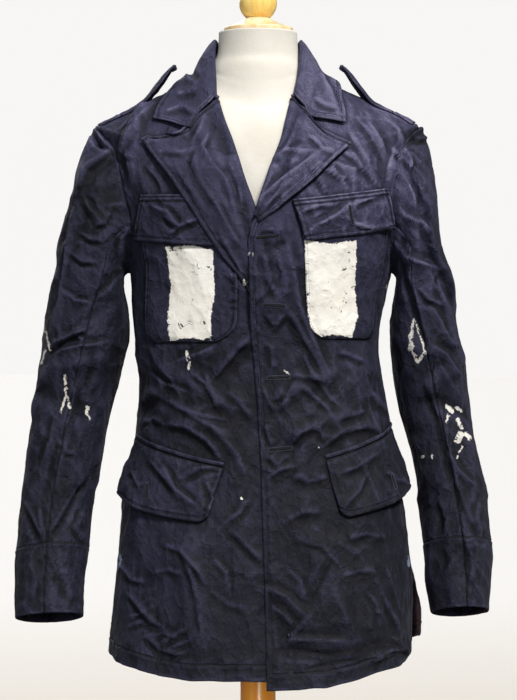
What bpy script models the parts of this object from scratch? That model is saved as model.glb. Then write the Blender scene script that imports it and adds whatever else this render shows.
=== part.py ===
"""Four-pocket cotton twill jacket worn on a limbless dress form with a turned wooden stand.

Units are metres and +Z is up. The front of the jacket faces -Y, so +X is the viewer's right.
The origin is the middle of the base's underside.

The jacket's trunk is one loft of rounded sections from hem to neck. A point on it is named by its
station (0 at the hem, 22 at the neck) and its angle (0 at the right side seam, -90 degrees at the
front centre, 180 at the left side seam). Every panel, pocket, flap, lapel and strap is a patch of
that loft, moved out by the cloth that lies beneath it.
"""
import math

import bmesh
import bpy
import numpy as np

for item in list(bpy.data.objects):
    bpy.data.objects.remove(item, do_unlink=True)

# Cloth sizes
CLOTH = 0.0020            # one layer of twill with its seam allowance
TWO_PLY = 0.0026          # collar, lapels, straps and hip flaps are turned double
POCKET_CLOTH = 0.0015
CHEST_FLAP_CLOTH = 0.0022
SEAM_GAP = 0.0003
LAY_GAP = 0.0011          # between a panel and what is sewn flat on it
HIP_GAP = 0.0005          # the same for the hip welts and flaps
STRAP_GAP = 0.0006        # and for the shoulder straps

# Stand sizes
FORM_BOTTOM = 0.360
NECK_TOP = 1.056
CAP_TOP = 1.0745
BALL_RADIUS = 0.0243
BALL_CENTRE = 1.0940
BALL_SEAT_RADIUS = 0.0155
# Profiles of the turned pieces as radius and height, from the bottom of the axis to the top.
CAP_PROFILE = (
    (0.0000, 1.0563), (0.0450, 1.0563), (0.0450, 1.0605), (0.0435, 1.0620), (0.0410, 1.0620),
    (0.0270, 1.0680), (0.0180, 1.0732), (0.0155, 1.0745), (0.0000, 1.0745),
)
POLE_PROFILE = ((0.0, 0.0303), (0.0225, 0.0303), (0.0225, 0.3597), (0.0, 0.3597))
BASE_PROFILE = (
    (0.0, 0.0), (0.147, 0.0), (0.150, 0.003), (0.150, 0.018), (0.145, 0.025), (0.134, 0.030),
    (0.0, 0.030),
)
TURNED_STEPS, BALL_STEPS, BASE_STEPS = 32, 20, 36

# Trunk sections, hem to neck. side_z is the height at the side seam, the drops are how far the
# middle of the front and back hang below it, and squareness is the superellipse exponent.
TRUNK_COLUMNS = ("side_z", "front_drop", "back_drop", "half_width", "shift",
                 "front_depth", "back_depth", "squareness")
TRUNK_ROWS = (
    (0.262, 0.026, 0.004, 0.1950, 0.003, 0.146, 0.128, 2.35),
    (0.300, 0.018, 0.003, 0.1930, 0.005, 0.143, 0.124, 2.35),
    (0.347, 0.010, 0.001, 0.1900, 0.006, 0.139, 0.120, 2.35),
    (0.393, 0.005, 0.000, 0.1860, 0.007, 0.134, 0.116, 2.35),
    (0.430, 0.002, 0.000, 0.1815, 0.006, 0.130, 0.111, 2.35),
    (0.468, 0.000, 0.000, 0.1770, 0.006, 0.125, 0.106, 2.35),
    (0.512, 0.000, 0.000, 0.1690, 0.008, 0.119, 0.099, 2.30),
    (0.558, 0.000, 0.000, 0.1610, 0.008, 0.112, 0.091, 2.30),
    (0.605, 0.000, 0.000, 0.1560, 0.005, 0.108, 0.087, 2.30),
    (0.655, 0.000, 0.000, 0.1550, 0.000, 0.108, 0.088, 2.30),
    (0.702, 0.000, 0.000, 0.1590, 0.001, 0.112, 0.092, 2.30),
    (0.748, 0.000, 0.000, 0.1660, 0.003, 0.118, 0.098, 2.30),
    (0.792, 0.002, 0.001, 0.1760, 0.003, 0.123, 0.104, 2.30),
    (0.836, 0.004, 0.002, 0.1850, 0.002, 0.125, 0.108, 2.30),
    (0.878, 0.014, 0.008, 0.1940, 0.000, 0.121, 0.109, 2.25),
    (0.912, 0.030, 0.020, 0.2010, -0.001, 0.113, 0.107, 2.15),
    (0.934, 0.045, 0.033, 0.2065, -0.002, 0.106, 0.103, 2.10),
    (0.9385, 0.0465, 0.0335, 0.1980, -0.002, 0.104, 0.102, 2.08),
    (0.9485, 0.050, 0.034, 0.1780, -0.001, 0.100, 0.099, 2.05),
    (0.9625, 0.050, 0.029, 0.1500, 0.000, 0.094, 0.094, 2.02),
    (0.9775, 0.046, 0.020, 0.1200, 0.000, 0.086, 0.086, 2.00),
    (0.9915, 0.042, 0.008, 0.0920, 0.000, 0.076, 0.076, 2.00),
    (1.0040, 0.038, -0.004, 0.0700, 0.000, 0.066, 0.066, 2.00),
)
ARMPIT = 11.0             # stations of the lowest and highest points of the armholes
SHOULDER = 16.0
NECK = 22.0
ARM_FRONT = math.radians(30)   # how far each armhole is scooped into the front and the back
ARM_BACK = math.radians(27)
ARM_STEPS = 6             # rows of each panel beside half an armhole
WELT_STATION = 6.5        # a further row just above the hip flaps
LEFT_SIDE = math.pi       # angle of the side seam on the viewer's left
FRONT_MIDDLE = -math.pi / 2
FRONT_RADIUS = 0.15       # turns an angle on the front into a length along the cloth

# Largest folds of the trunk, as long soft ridges (height > 0) and troughs (height < 0). Their ends
# are x and z as seen from the front. Rows with back = 1 lie on the back.
FOLD_COLUMNS = ("back", "x_a", "z_a", "x_b", "z_b", "reach", "height")
FOLD_ROWS = (
    (0, -0.150, 0.900, -0.168, 0.840, 0.013, 0.0055),    # drape beside the left armhole
    (0, 0.166, 0.872, 0.172, 0.800, 0.012, 0.0045),      # drape beside the right armhole
    (0, -0.115, 0.574, -0.045, 0.546, 0.011, 0.0045),    # puff above the left hip flap
    (0, 0.045, 0.545, 0.105, 0.570, 0.013, 0.0040),      # puff above the right hip flap
    (0, -0.110, 0.630, -0.030, 0.580, 0.013, 0.0035),    # drag lines below the chest pockets
    (0, 0.090, 0.624, 0.015, 0.588, 0.012, 0.0035),
    (0, -0.148, 0.615, -0.138, 0.570, 0.012, -0.0040),   # waist darts
    (0, 0.146, 0.612, 0.140, 0.580, 0.012, -0.0035),
    (0, -0.085, 0.400, -0.070, 0.300, 0.020, 0.0060),    # skirt
    (0, -0.140, 0.360, -0.118, 0.262, 0.020, -0.0050),
    (0, 0.080, 0.395, 0.110, 0.280, 0.022, 0.0060),
    (0, 0.020, 0.330, 0.055, 0.260, 0.018, -0.0045),
    (1, -0.100, 0.930, -0.060, 0.780, 0.020, 0.0050),    # back, between the shoulders
    (1, 0.105, 0.920, 0.070, 0.760, 0.020, 0.0050),
    (1, -0.110, 0.620, 0.020, 0.570, 0.014, 0.0045),     # back waist
    (1, 0.120, 0.600, 0.000, 0.545, 0.014, 0.0040),
    (1, -0.070, 0.450, -0.085, 0.270, 0.024, 0.0070),    # back skirt
    (1, 0.075, 0.440, 0.095, 0.270, 0.024, 0.0070),
    (1, 0.000, 0.460, 0.005, 0.270, 0.022, -0.0060),
)
FOLD_SIDE_DEPTH = 0.04    # folds die away towards the side seams over this depth

# Roll lines, lapel edges and front edges, in the front view.
ROLL_COLUMNS = ("z", "roll_x", "edge_x", "edge_z")
LEFT_LAPEL_ROWS = (       # turned back from the viewer's left front
    (0.9620, -0.0520, -0.1430, 0.9080),
    (0.9350, -0.0440, -0.1270, 0.8880),
    (0.9050, -0.0330, -0.1080, 0.8640),
    (0.8600, -0.0190, -0.0810, 0.8250),
    (0.8180, -0.0040, -0.0530, 0.7810),
    (0.7700, 0.0080, -0.0190, 0.7350),
    (0.7230, 0.0170, -0.0030, 0.7080),
)
RIGHT_LAPEL_ROWS = (
    (0.9645, 0.0440, 0.1150, 0.9020),
    (0.9420, 0.0390, 0.0960, 0.8860),
    (0.9100, 0.0310, 0.0760, 0.8670),
    (0.8780, 0.0190, 0.0580, 0.8510),
    (0.8450, 0.0080, 0.0350, 0.8330),
    (0.8150, -0.0020, 0.0020, 0.8080),
)
# How a lapel turns: off the roll line and out from the front, then shares of its width.
LAPEL_NOSE = ((-0.0037, -0.0015), (-0.0033, 0.0018), (-0.0004, 0.0039))
LAPEL_SHARES = (0.14, 0.28, 0.44, 0.60, 0.76, 0.89, 1.0)
LAPEL_OUT = 0.0038        # out from the front beside the roll line
LAPEL_RISE = 0.0057       # and how much farther it rides where the cloth below is double
NOTCH_LEFT = (-0.0890, 0.9145)       # corner where the gorge seam meets the lapel's top edge
NOTCH_RIGHT = (0.0665, 0.9293)
# Free edges of the fronts below the roll lines and above them: z and x in the front view.
RIGHT_EDGE_BELOW = (      # viewer's right front, the top layer
    (0.230, 0.0105), (0.300, 0.0100), (0.365, 0.0080), (0.440, 0.0055), (0.510, 0.0035),
    (0.585, -0.0010), (0.660, -0.0080), (0.725, -0.0105), (0.786, -0.0120), (0.806, -0.0070),
)
RIGHT_EDGE_ABOVE = (1.010, 0.0500)
LEFT_EDGE_BELOW = (       # viewer's left front, whose underlap runs under the other front
    (0.230, 0.0440), (0.400, 0.0420), (0.550, 0.0350), (0.640, 0.0280), (0.710, 0.0200),
)
LEFT_EDGE_ABOVE = (1.010, -0.0560)
OVERLAP_LIFT = 0.0032     # the top front rides over the underlap
LAPEL_LIFT = 0.0108       # and higher where the other lapel runs beneath it
UNDERLAP_REACH = (0.046, 0.088)      # front-view x between which each lift dies away
LAPEL_REACH = (0.018, 0.062)

# Sleeves, armhole to cuff: the outer and the inner line in the front view, the middle's y, half
# the depth front to back, the slope of the ring (front edge higher), and where the front seam lies.
SLEEVE_COLUMNS = ("outer_x", "outer_z", "inner_x", "inner_z", "middle_y", "half_depth", "slope",
                  "seam")
LEFT_SLEEVE_ROWS = (
    (0.2080, 0.9360, 0.1630, 0.7500, 0.000, 0.072, 0.00, -30),
    (0.2165, 0.9240, 0.1700, 0.7430, -0.002, 0.074, 0.00, -29),
    (0.2240, 0.8950, 0.1725, 0.7340, -0.003, 0.073, 0.00, -27),
    (0.2360, 0.8400, 0.1710, 0.7190, -0.003, 0.070, 0.00, -22),
    (0.2520, 0.7800, 0.1680, 0.6990, -0.001, 0.067, 0.02, -16),
    (0.2670, 0.7200, 0.1680, 0.6720, 0.002, 0.064, 0.04, -10),
    (0.2770, 0.6560, 0.1740, 0.6320, 0.006, 0.061, 0.06, -5),
    (0.2870, 0.5860, 0.1880, 0.5750, 0.009, 0.056, 0.10, -2),
    (0.2940, 0.5300, 0.1985, 0.5220, 0.006, 0.053, 0.15, 0),
    (0.3020, 0.4600, 0.2110, 0.4550, -0.002, 0.050, 0.19, 2),
    (0.3085, 0.3970, 0.2150, 0.3950, -0.012, 0.049, 0.22, 4),
    (0.3085, 0.3500, 0.2180, 0.3500, -0.021, 0.047, 0.24, 5),
    (0.3060, 0.3080, 0.2190, 0.3130, -0.028, 0.046, 0.25, 6),
)
RIGHT_SLEEVE_ROWS = (
    (0.2045, 0.9360, 0.1680, 0.7500, 0.000, 0.072, 0.00, -30),
    (0.2140, 0.9240, 0.1760, 0.7430, -0.002, 0.074, 0.00, -29),
    (0.2220, 0.8950, 0.1780, 0.7340, -0.003, 0.073, 0.00, -27),
    (0.2275, 0.8400, 0.1760, 0.7190, -0.003, 0.070, 0.00, -22),
    (0.2330, 0.7800, 0.1720, 0.6990, -0.001, 0.067, 0.02, -16),
    (0.2470, 0.7200, 0.1690, 0.6720, 0.002, 0.064, 0.04, -10),
    (0.2590, 0.6560, 0.1720, 0.6320, 0.006, 0.061, 0.06, -5),
    (0.2700, 0.5860, 0.1830, 0.5750, 0.009, 0.056, 0.10, -2),
    (0.2780, 0.5260, 0.1955, 0.5220, 0.006, 0.053, 0.15, 0),
    (0.2895, 0.4600, 0.2050, 0.4550, -0.002, 0.050, 0.19, 2),
    (0.2955, 0.3970, 0.2115, 0.3950, -0.012, 0.049, 0.22, 4),
    (0.2965, 0.3560, 0.2150, 0.3520, -0.021, 0.047, 0.24, 5),
    (0.2945, 0.3190, 0.2185, 0.3170, -0.028, 0.046, 0.25, 6),
)
SLEEVE_SEAM_HALF = 0.95   # half the gap at the sleeve seams, in degrees round the sleeve
ARMPIT_EASE = 0.0030      # how far the under sleeve stands off the side seam at the armpit
RING_LENGTH = 0.055       # the sleeve's mean length from ring to ring, and its mean girth
SLEEVE_GIRTH = 0.33
SLEEVE_BLEND = 2.6        # rings over which the armhole's shape turns into the sleeve's own
# Largest folds of the sleeves, on the sleeve's own ring number and angle (90 outer, 0 front).
SLEEVE_FOLD_COLUMNS = ("ring_a", "deg_a", "ring_b", "deg_b", "reach", "height")
LEFT_SLEEVE_FOLDS = (
    (1.6, 55, 4.0, 75, 0.015, 0.0050),
    (2.5, 25, 4.6, 40, 0.013, -0.0045),
    (6.0, -30, 6.6, 60, 0.012, 0.0045),
    (6.8, 60, 7.2, -20, 0.012, -0.0045),
    (7.6, 0, 9.5, 45, 0.014, 0.0035),
    (3.0, 150, 6.0, 175, 0.018, 0.0050),
    (7.0, 120, 7.6, 200, 0.015, -0.0045),
)
RIGHT_SLEEVE_FOLDS = (
    (2.4, 30, 5.2, 62, 0.015, 0.0055),
    (2.6, 18, 4.4, 34, 0.012, -0.0035),
    (6.2, 60, 6.8, -25, 0.012, 0.0045),
    (6.9, -25, 7.3, 55, 0.012, -0.0045),
    (8.0, 50, 9.8, 10, 0.014, 0.0035),
    (3.0, 150, 6.0, 175, 0.018, 0.0050),
    (7.0, 120, 7.6, 200, 0.015, -0.0045),
)

# Collar, centre back to a front end. fold is the top of the roll, base is where the stand is sewn
# on, mid and edge are points of the fall by angle (degrees) and station. The last row's mid is the
# notch corner and its edge is the collar's tip.
COLLAR_COLUMNS = ("fold_x", "fold_y", "fold_z", "base_deg", "base_station", "mid_deg",
                  "mid_station", "edge_deg", "edge_station")
COLLAR_BACK_ROWS = (
    (0.0000, 0.0640, 1.0430, 90, 22.00, 90, 21.75, 90, 20.90),
    (0.0310, 0.0560, 1.0440, 60, 22.00, 60, 21.70, 60, 20.85),
    (0.0500, 0.0330, 1.0460, 30, 22.00, 31, 21.60, 31, 20.80),
    (0.0560, 0.0000, 1.0470, 0, 22.00, 3, 21.60, 6, 20.75),
)
COLLAR_LEFT_ROWS = (
    (0.0570, -0.0270, 1.0270, -24, 22.00, -20, 21.15, -10, 20.40),
    (0.0555, -0.0500, 0.9990, -42, 22.00, -40, 20.30, -23, 19.80),
    (0.0535, -0.0690, 0.9685, -52, 21.20, -56, 18.80, -37, 18.55),
)
COLLAR_RIGHT_ROWS = (
    (0.0550, -0.0270, 1.0270, -24, 22.00, -20, 21.20, -14, 20.45),
    (0.0520, -0.0500, 0.9990, -44, 22.00, -43, 20.60, -32, 19.90),
    (0.0455, -0.0700, 0.9705, -56, 21.40, -59, 19.70, -47, 18.70),
)

COLLAR_OUT = 0.0075       # the fall's middle and its edge, out from the trunk
COLLAR_EDGE_OUT = 0.0068
COLLAR_BELLY = 0.0020     # how far the fall rounds out between the fold and its middle
FOLD_WIDTH = 0.0034       # half the thickness of the rolled fold

# Pockets and flaps in the front view: the four corners, clockwise from the top left.
CHEST_POCKET_LEFT = ((-0.1460, 0.8270), (-0.0300, 0.8270), (-0.0255, 0.6600), (-0.1405, 0.6600))
CHEST_POCKET_RIGHT = ((0.0500, 0.8270), (0.1620, 0.8300), (0.1470, 0.6640), (0.0620, 0.6640))
CHEST_FLAP_LEFT = ((-0.1430, 0.8430), (-0.0430, 0.8400), (-0.0450, 0.7780), (-0.1510, 0.7880))
CHEST_FLAP_RIGHT = ((0.0415, 0.8340), (0.1560, 0.8515), (0.1635, 0.8025), (0.0570, 0.7850))
POCKET_ROUNDING = 0.028
# Hip flaps: angle from the front middle in degrees and height, inner edge then outer edge.
HIP_COLUMNS = ("top_deg", "top_z", "low_deg", "low_z")
HIP_FLAP_LEFT = (
    (-14.5, 0.5050, -18.0, 0.4370), (-47.0, 0.5230, -49.0, 0.4480), (-79.0, 0.5390, -80.0, 0.4660),
)
HIP_FLAP_RIGHT = (
    (23.5, 0.5140, 28.0, 0.4420), (53.0, 0.5340, 56.0, 0.4560), (81.0, 0.5520, 85.0, 0.4740),
)
WELT_HEIGHT = 0.007
WELT_LIFT = 0.03          # how far the welt lies above the flap, as a share of the flap's height
FLAP_FLARE = (0.0070, 0.0120)        # how far the lower outer corners stand off, left and right

# Shoulder straps lie from the armhole inwards, and their inner ends are loose and stand up.
STRAP_LENGTH_X = (0.2030, 0.1050)    # from the seam to the loose end
STRAP_HALF_WIDTH = 0.0215
STRAP_LIE_END = 0.152                # where the strap leaves the shoulder
STRAP_RISE = 0.027

# Vents: below this height the back's side edges swing out behind the fronts.
VENT_TOP = 0.385
VENT_SWING = 0.013
VENT_BACK = 0.008
BACK_HEM_RISE = 0.020
LEFT_HEM_RISE = 0.008                # the under front's hem is shorter at its free edge

# Dress form sections above the shoulders, after the trunk loft drawn in by the clearances below.
FORM_NECK = (             # z, half width, half depth, middle y
    (1.0120, 0.0600, 0.0560, 0.0010), (1.0220, 0.0545, 0.0520, 0.0010),
    (1.0340, 0.0515, 0.0500, 0.0005), (1.0460, 0.0505, 0.0490, 0.0000),
    (NECK_TOP, 0.0502, 0.0488, 0.0000),
)
FORM_CLEARANCE = (        # trunk station, gap under the cloth
    (2.2, 0.045), (4.0, 0.032), (6.0, 0.026), (8.0, 0.022), (10.0, 0.018), (12.0, 0.016),
    (14.0, 0.016), (15.0, 0.015), (16.0, 0.013), (17.0, 0.0060), (17.7, 0.0016), (18.4, 0.0009),
    (19.2, 0.0009), (20.0, 0.0009), (21.0, 0.0009), (21.9, 0.0012),
)


class Sections:
    """Rows of sizes with named columns, read between the rows along a smooth curve."""

    def __init__(self, names, rows):
        self.names = names
        self.values = np.array(rows, dtype=float)
        self.slopes = np.gradient(self.values, axis=0)

    def at(self, station):
        station = np.clip(np.asarray(station, dtype=float), 0, len(self.values) - 1)
        low = np.minimum(station.astype(int), len(self.values) - 2)
        f = (station - low)[..., None]
        p, q = self.values[low], self.values[low + 1]
        m, n = self.slopes[low], self.slopes[low + 1]
        cubic = ((2 * f ** 3 - 3 * f ** 2 + 1) * p + (f ** 3 - 2 * f ** 2 + f) * m
                 + (3 * f ** 2 - 2 * f ** 3) * q + (f ** 3 - f ** 2) * n)
        return {name: cubic[..., i] for i, name in enumerate(self.names)}


def smooth(value):
    value = np.clip(value, 0, 1)
    return value * value * (3 - 2 * value)


def signed_power(value, power):
    return np.sign(value) * np.abs(value) ** power


TRUNK = Sections(TRUNK_COLUMNS, TRUNK_ROWS)


def plain_trunk(station, angle):
    """The trunk's outer surface before its folds."""
    row = TRUNK.at(station)
    c, s = np.cos(angle), np.sin(angle)
    power = 2 / row["squareness"]
    depth = np.where(s < 0, row["front_depth"], row["back_depth"])
    drop = np.where(s < 0, row["front_drop"], row["back_drop"])
    x = row["shift"] + row["half_width"] * signed_power(c, power)
    y = depth * signed_power(s, power)
    return np.stack([x, y, row["side_z"] - drop * s * s], axis=-1)


def unit(vector):
    return vector / np.linalg.norm(vector, axis=-1, keepdims=True)


def trunk_normal(station, angle):
    """The outward direction, square to the plain surface."""
    step_a, step_s = 0.01, 0.05
    around = plain_trunk(station, angle + step_a) - plain_trunk(station, angle - step_a)
    up = (plain_trunk(np.minimum(station + step_s, NECK), angle)
          - plain_trunk(np.maximum(station - step_s, 0), angle))
    return unit(np.cross(around, up))


def fold_height(points):
    """How far the largest folds push the cloth out, or in where it is negative."""
    x, y, z = points[..., 0], points[..., 1], points[..., 2]
    total = np.zeros_like(x)
    for values in FOLD_ROWS:
        fold = dict(zip(FOLD_COLUMNS, values))
        run_x, run_z = fold["x_b"] - fold["x_a"], fold["z_b"] - fold["z_a"]
        from_x, from_z = x - fold["x_a"], z - fold["z_a"]
        along = np.clip((from_x * run_x + from_z * run_z) / (run_x ** 2 + run_z ** 2), 0, 1)
        off2 = (from_x - along * run_x) ** 2 + (from_z - along * run_z) ** 2
        side = smooth((y if fold["back"] else -y) / FOLD_SIDE_DEPTH)
        total += fold["height"] * side * np.exp(-off2 / fold["reach"] ** 2)
    return total


def overlap_lift(points):
    """How far the top front rides over what lies beneath its edge."""
    x, z = points[..., 0], points[..., 2]
    over_front = 1 - smooth((x - UNDERLAP_REACH[0]) / (UNDERLAP_REACH[1] - UNDERLAP_REACH[0]))
    over_lapel = 1 - smooth((x - LAPEL_REACH[0]) / (LAPEL_REACH[1] - LAPEL_REACH[0]))
    over_lapel = over_lapel * smooth((z - 0.660) / 0.05)
    closed = 1 - smooth((z - 0.830) / 0.05)
    return closed * (OVERLAP_LIFT * over_front + (LAPEL_LIFT - OVERLAP_LIFT) * over_lapel)


def trunk(station, angle, out=0.0, top_front=False):
    """A point of the trunk with its folds, moved out by out metres."""
    station, angle = np.broadcast_arrays(station, angle)
    plain = plain_trunk(station, angle)
    push = fold_height(plain) + out
    if top_front:
        push = push + overlap_lift(plain)
    return plain + trunk_normal(station, angle) * push[..., None]


def front_angle(x, station):
    row = TRUNK.at(station)
    q = np.clip((x - row["shift"]) / row["half_width"], -1, 1)
    return -np.arccos(np.clip(signed_power(q, row["squareness"] / 2), -1, 1))


def station_for(height, angle_of):
    """The station at which the trunk reaches a height, where angle_of gives the angle there."""
    low = np.zeros_like(height)
    high = np.full_like(height, NECK)
    for _ in range(34):
        middle = (low + high) / 2
        below = plain_trunk(middle, angle_of(middle))[..., 2] < height
        low = np.where(below, middle, low)
        high = np.where(below, high, middle)
    return (low + high) / 2


def on_front(x, z, out=0.0, top_front=False):
    """The point of the front that the front view shows at x, z."""
    x, z = np.broadcast_arrays(np.asarray(x, dtype=float), np.asarray(z, dtype=float))
    station = station_for(z, lambda s: front_angle(x, s))
    return trunk(station, front_angle(x, station), out, top_front)


def at_height(angle, z, out=0.0, top_front=False):
    """The point of the trunk at an angle and a height."""
    angle, z = np.broadcast_arrays(np.asarray(angle, dtype=float), np.asarray(z, dtype=float))
    return trunk(station_for(z, lambda s: angle), angle, out, top_front)


def front_edge(lapel_rows, below, above):
    """Heights and x of a front's free edge: straight parts below, the roll line, the neck."""
    roll = Sections(ROLL_COLUMNS, lapel_rows).at(np.linspace(len(lapel_rows) - 1, 0, 60))
    heights = np.concatenate([[row[0] for row in below], roll["z"], [above[0]]])
    places = np.concatenate([[row[1] for row in below], roll["roll_x"], [above[1]]])
    return heights, places


def edge_angle(edge, station):
    """The angle at which a front's edge crosses each section."""
    angle = np.full_like(station, FRONT_MIDDLE)
    for _ in range(30):
        z = plain_trunk(station, angle)[..., 2]
        angle = front_angle(np.interp(z, *edge), station)
    return angle


def material(name, colour, roughness):
    made = bpy.data.materials.new(name)
    made.use_nodes = True
    shader = made.node_tree.nodes["Principled BSDF"]
    shader.inputs["Base Color"].default_value = (*colour, 1)
    shader.inputs["Roughness"].default_value = roughness
    return made


NAVY = (0.030, 0.029, 0.052)
CREAM = (0.74, 0.68, 0.56)
ORANGE_WOOD = (0.62, 0.36, 0.15)
PALE_WOOD = (0.80, 0.62, 0.38)

jacket = bpy.data.collections.new("jacket_on_dress_form")
bpy.context.scene.collection.children.link(jacket)


def finish_object(obj, colour, roughness):
    obj.data.materials.clear()
    obj.data.materials.append(material(obj.name, colour, roughness))
    for collection in list(obj.users_collection):
        collection.objects.unlink(obj)
    jacket.objects.link(obj)
    obj.data.shade_smooth()
    obj.data.set_sharp_from_angle(angle=math.radians(40))
    return obj


def cloth(name, grid, thickness=CLOTH, flip=False):
    """A wall of cloth: the grid is its outer face, and Solidify gives it its inner one."""
    rows, columns = grid.shape[:2]
    faces = []
    for r in range(rows - 1):
        for c in range(columns - 1):
            a = r * columns + c
            face = (a, a + 1, a + columns + 1, a + columns)
            faces.append(face[::-1] if flip else face)
    mesh = bpy.data.meshes.new(name)
    mesh.from_pydata([tuple(map(float, point)) for point in grid.reshape(-1, 3)], [], faces)
    obj = bpy.data.objects.new(name, mesh)
    bpy.context.scene.collection.objects.link(obj)
    wall = obj.modifiers.new("wall", "SOLIDIFY")
    wall.thickness = thickness
    wall.offset = -1
    wall.use_quality_normals = True
    return finish_object(obj, NAVY, 0.85)


def armhole(alpha, left):
    """Station and angle of the armhole's edge: alpha 90 degrees is the top, 0 the front."""
    middle = (ARMPIT + SHOULDER) / 2
    half = (SHOULDER - ARMPIT) / 2
    station = middle + half * np.sin(alpha)
    scoop = np.where(np.cos(alpha) > 0, -ARM_FRONT, ARM_BACK) * np.abs(np.cos(alpha))
    return station, (-LEFT_SIDE - scoop if left else scoop)


def trunk_rows(below, above):
    """Stations of a panel's rows, with the armhole's own steps beside it."""
    half = np.linspace(-90, 90, 2 * ARM_STEPS + 1)
    beside = armhole(np.radians(half), False)[0]
    low = np.linspace(0, ARMPIT, below + 1)[:-1]
    high = np.linspace(SHOULDER, NECK, above + 1)[1:]
    return np.sort(np.concatenate([low, [WELT_STATION], beside, high]))


def armhole_scoop(station, reach):
    """How far the armhole bites into a panel at each station, as an angle."""
    middle = (ARMPIT + SHOULDER) / 2
    half = (SHOULDER - ARMPIT) / 2
    inside = np.clip(1 - ((station - middle) / half) ** 2, 0, 1)
    return reach * np.sqrt(inside)


ROWS = trunk_rows(11, 6)
SIDE_SEAM_HALF = 0.0030   # half the gap at the side seams, in radians round the trunk


def front(name, left, columns=13):
    """One front, from its side seam to its free edge."""
    if left:
        free = front_edge(LEFT_LAPEL_ROWS, LEFT_EDGE_BELOW, LEFT_EDGE_ABOVE)
    else:
        free = front_edge(RIGHT_LAPEL_ROWS, RIGHT_EDGE_BELOW, RIGHT_EDGE_ABOVE)
    edge = edge_angle(free, ROWS)
    side = SIDE_SEAM_HALF + armhole_scoop(ROWS, ARM_FRONT)
    start = -LEFT_SIDE + side if left else -side
    across = np.linspace(0, 1, columns)[None, :]
    angle = start[:, None] + (edge - start)[:, None] * across
    station = np.repeat(ROWS[:, None], columns, axis=1)
    grid = trunk(station, angle, 0.0, top_front=not left)
    if left:
        grid[..., 2] += LEFT_HEM_RISE * smooth(across) * smooth(1 - station / 3)
    return cloth(name, grid, flip=not left)


def back(name, columns=21):
    side = SIDE_SEAM_HALF + armhole_scoop(ROWS, ARM_BACK)
    across = np.linspace(0, 1, columns)[None, :]
    angle = side[:, None] + (math.pi - 2 * side)[:, None] * across
    station = np.repeat(ROWS[:, None], columns, axis=1)
    grid = trunk(station, angle)
    low = smooth((VENT_TOP - grid[..., 2]) / 0.09)
    swing = low * (1 - smooth(np.minimum(across, 1 - across) / 0.16))
    grid[..., 0] += VENT_SWING * swing * (across < 0.5)
    grid[..., 1] += VENT_BACK * swing
    grid[..., 2] += BACK_HEM_RISE * swing * smooth(1 - station / 2.5)
    return cloth(name, grid)


def sleeve_folds(rows, ring, degrees):
    """How far a sleeve's folds push its cloth out, or in where it is negative."""
    total = np.zeros_like(ring)
    for values in rows:
        fold = dict(zip(SLEEVE_FOLD_COLUMNS, values))
        run_down = (fold["ring_b"] - fold["ring_a"]) * RING_LENGTH
        run_round = (fold["deg_b"] - fold["deg_a"]) * SLEEVE_GIRTH / 360
        from_down = (ring - fold["ring_a"]) * RING_LENGTH
        from_round = (degrees - fold["deg_a"]) * SLEEVE_GIRTH / 360
        length2 = run_down ** 2 + run_round ** 2
        along = np.clip((from_down * run_down + from_round * run_round) / length2, 0, 1)
        off2 = (from_down - along * run_down) ** 2 + (from_round - along * run_round) ** 2
        total += fold["height"] * np.exp(-off2 / fold["reach"] ** 2)
    return total


def sleeve_point(left, ring, alpha):
    """A point of a sleeve: alpha 0 faces front, 90 degrees is the outer line, -90 the inner."""
    row = Sections(SLEEVE_COLUMNS, LEFT_SLEEVE_ROWS if left else RIGHT_SLEEVE_ROWS).at(ring)
    outward = -1 if left else 1
    c, s = np.cos(alpha), np.sin(alpha)
    x = (row["outer_x"] + row["inner_x"]) / 2 + (row["outer_x"] - row["inner_x"]) / 2 * s
    z = (row["outer_z"] + row["inner_z"]) / 2 + (row["outer_z"] - row["inner_z"]) / 2 * s
    y = row["middle_y"] - row["half_depth"] * c
    z = z + row["slope"] * row["half_depth"] * c
    free = np.stack([outward * x, y, z], axis=-1)
    out = unit(np.stack([outward * s, -c, 0.25 * s], axis=-1))
    folds = LEFT_SLEEVE_FOLDS if left else RIGHT_SLEEVE_FOLDS
    stand_off = smooth(ring / 0.5) * (1 - smooth((ring - 1.4) / 1.2)) * smooth(0.3 - s)
    free[..., 0] += outward * ARMPIT_EASE * stand_off
    fade = smooth(ring / 1.5)
    free = free + out * (fade * sleeve_folds(folds, ring, np.degrees(alpha)))[..., None]
    sewn = trunk(*armhole(alpha, left))
    middle = sewn.reshape(-1, 3).mean(axis=0)
    sewn = sewn + unit(middle - sewn) * (2.2 * SEAM_GAP)
    sewn[..., 0] += outward * 2 * SEAM_GAP
    sewn[..., 0] += outward * ARMPIT_EASE * stand_off
    blend = smooth(ring / SLEEVE_BLEND)[..., None]
    return sewn * (1 - blend) + (free + (sewn - sleeve_start(left, alpha)) * (1 - blend)) * blend


def sleeve_start(left, alpha):
    """The plain ellipse that stands where the armhole is, before it takes the armhole's shape."""
    row = Sections(SLEEVE_COLUMNS, LEFT_SLEEVE_ROWS if left else RIGHT_SLEEVE_ROWS).at(alpha * 0)
    outward = -1 if left else 1
    c, s = np.cos(alpha), np.sin(alpha)
    x = (row["outer_x"] + row["inner_x"]) / 2 + (row["outer_x"] - row["inner_x"]) / 2 * s
    z = (row["outer_z"] + row["inner_z"]) / 2 + (row["outer_z"] - row["inner_z"]) / 2 * s
    return np.stack([outward * x, row["middle_y"] - row["half_depth"] * c, z], axis=-1)


SLEEVE_RINGS = np.array([0, 0.5, 1, 1.6, 2.2, 2.8, 3.4, 4, 4.7, 5.4, 6, 6.5, 7, 7.6, 8.4, 9.3, 10.2,
                         11.1, 12])
SLEEVE_STEP = 90 / ARM_STEPS               # the sleeve's corners meet the panels' own corners


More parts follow.
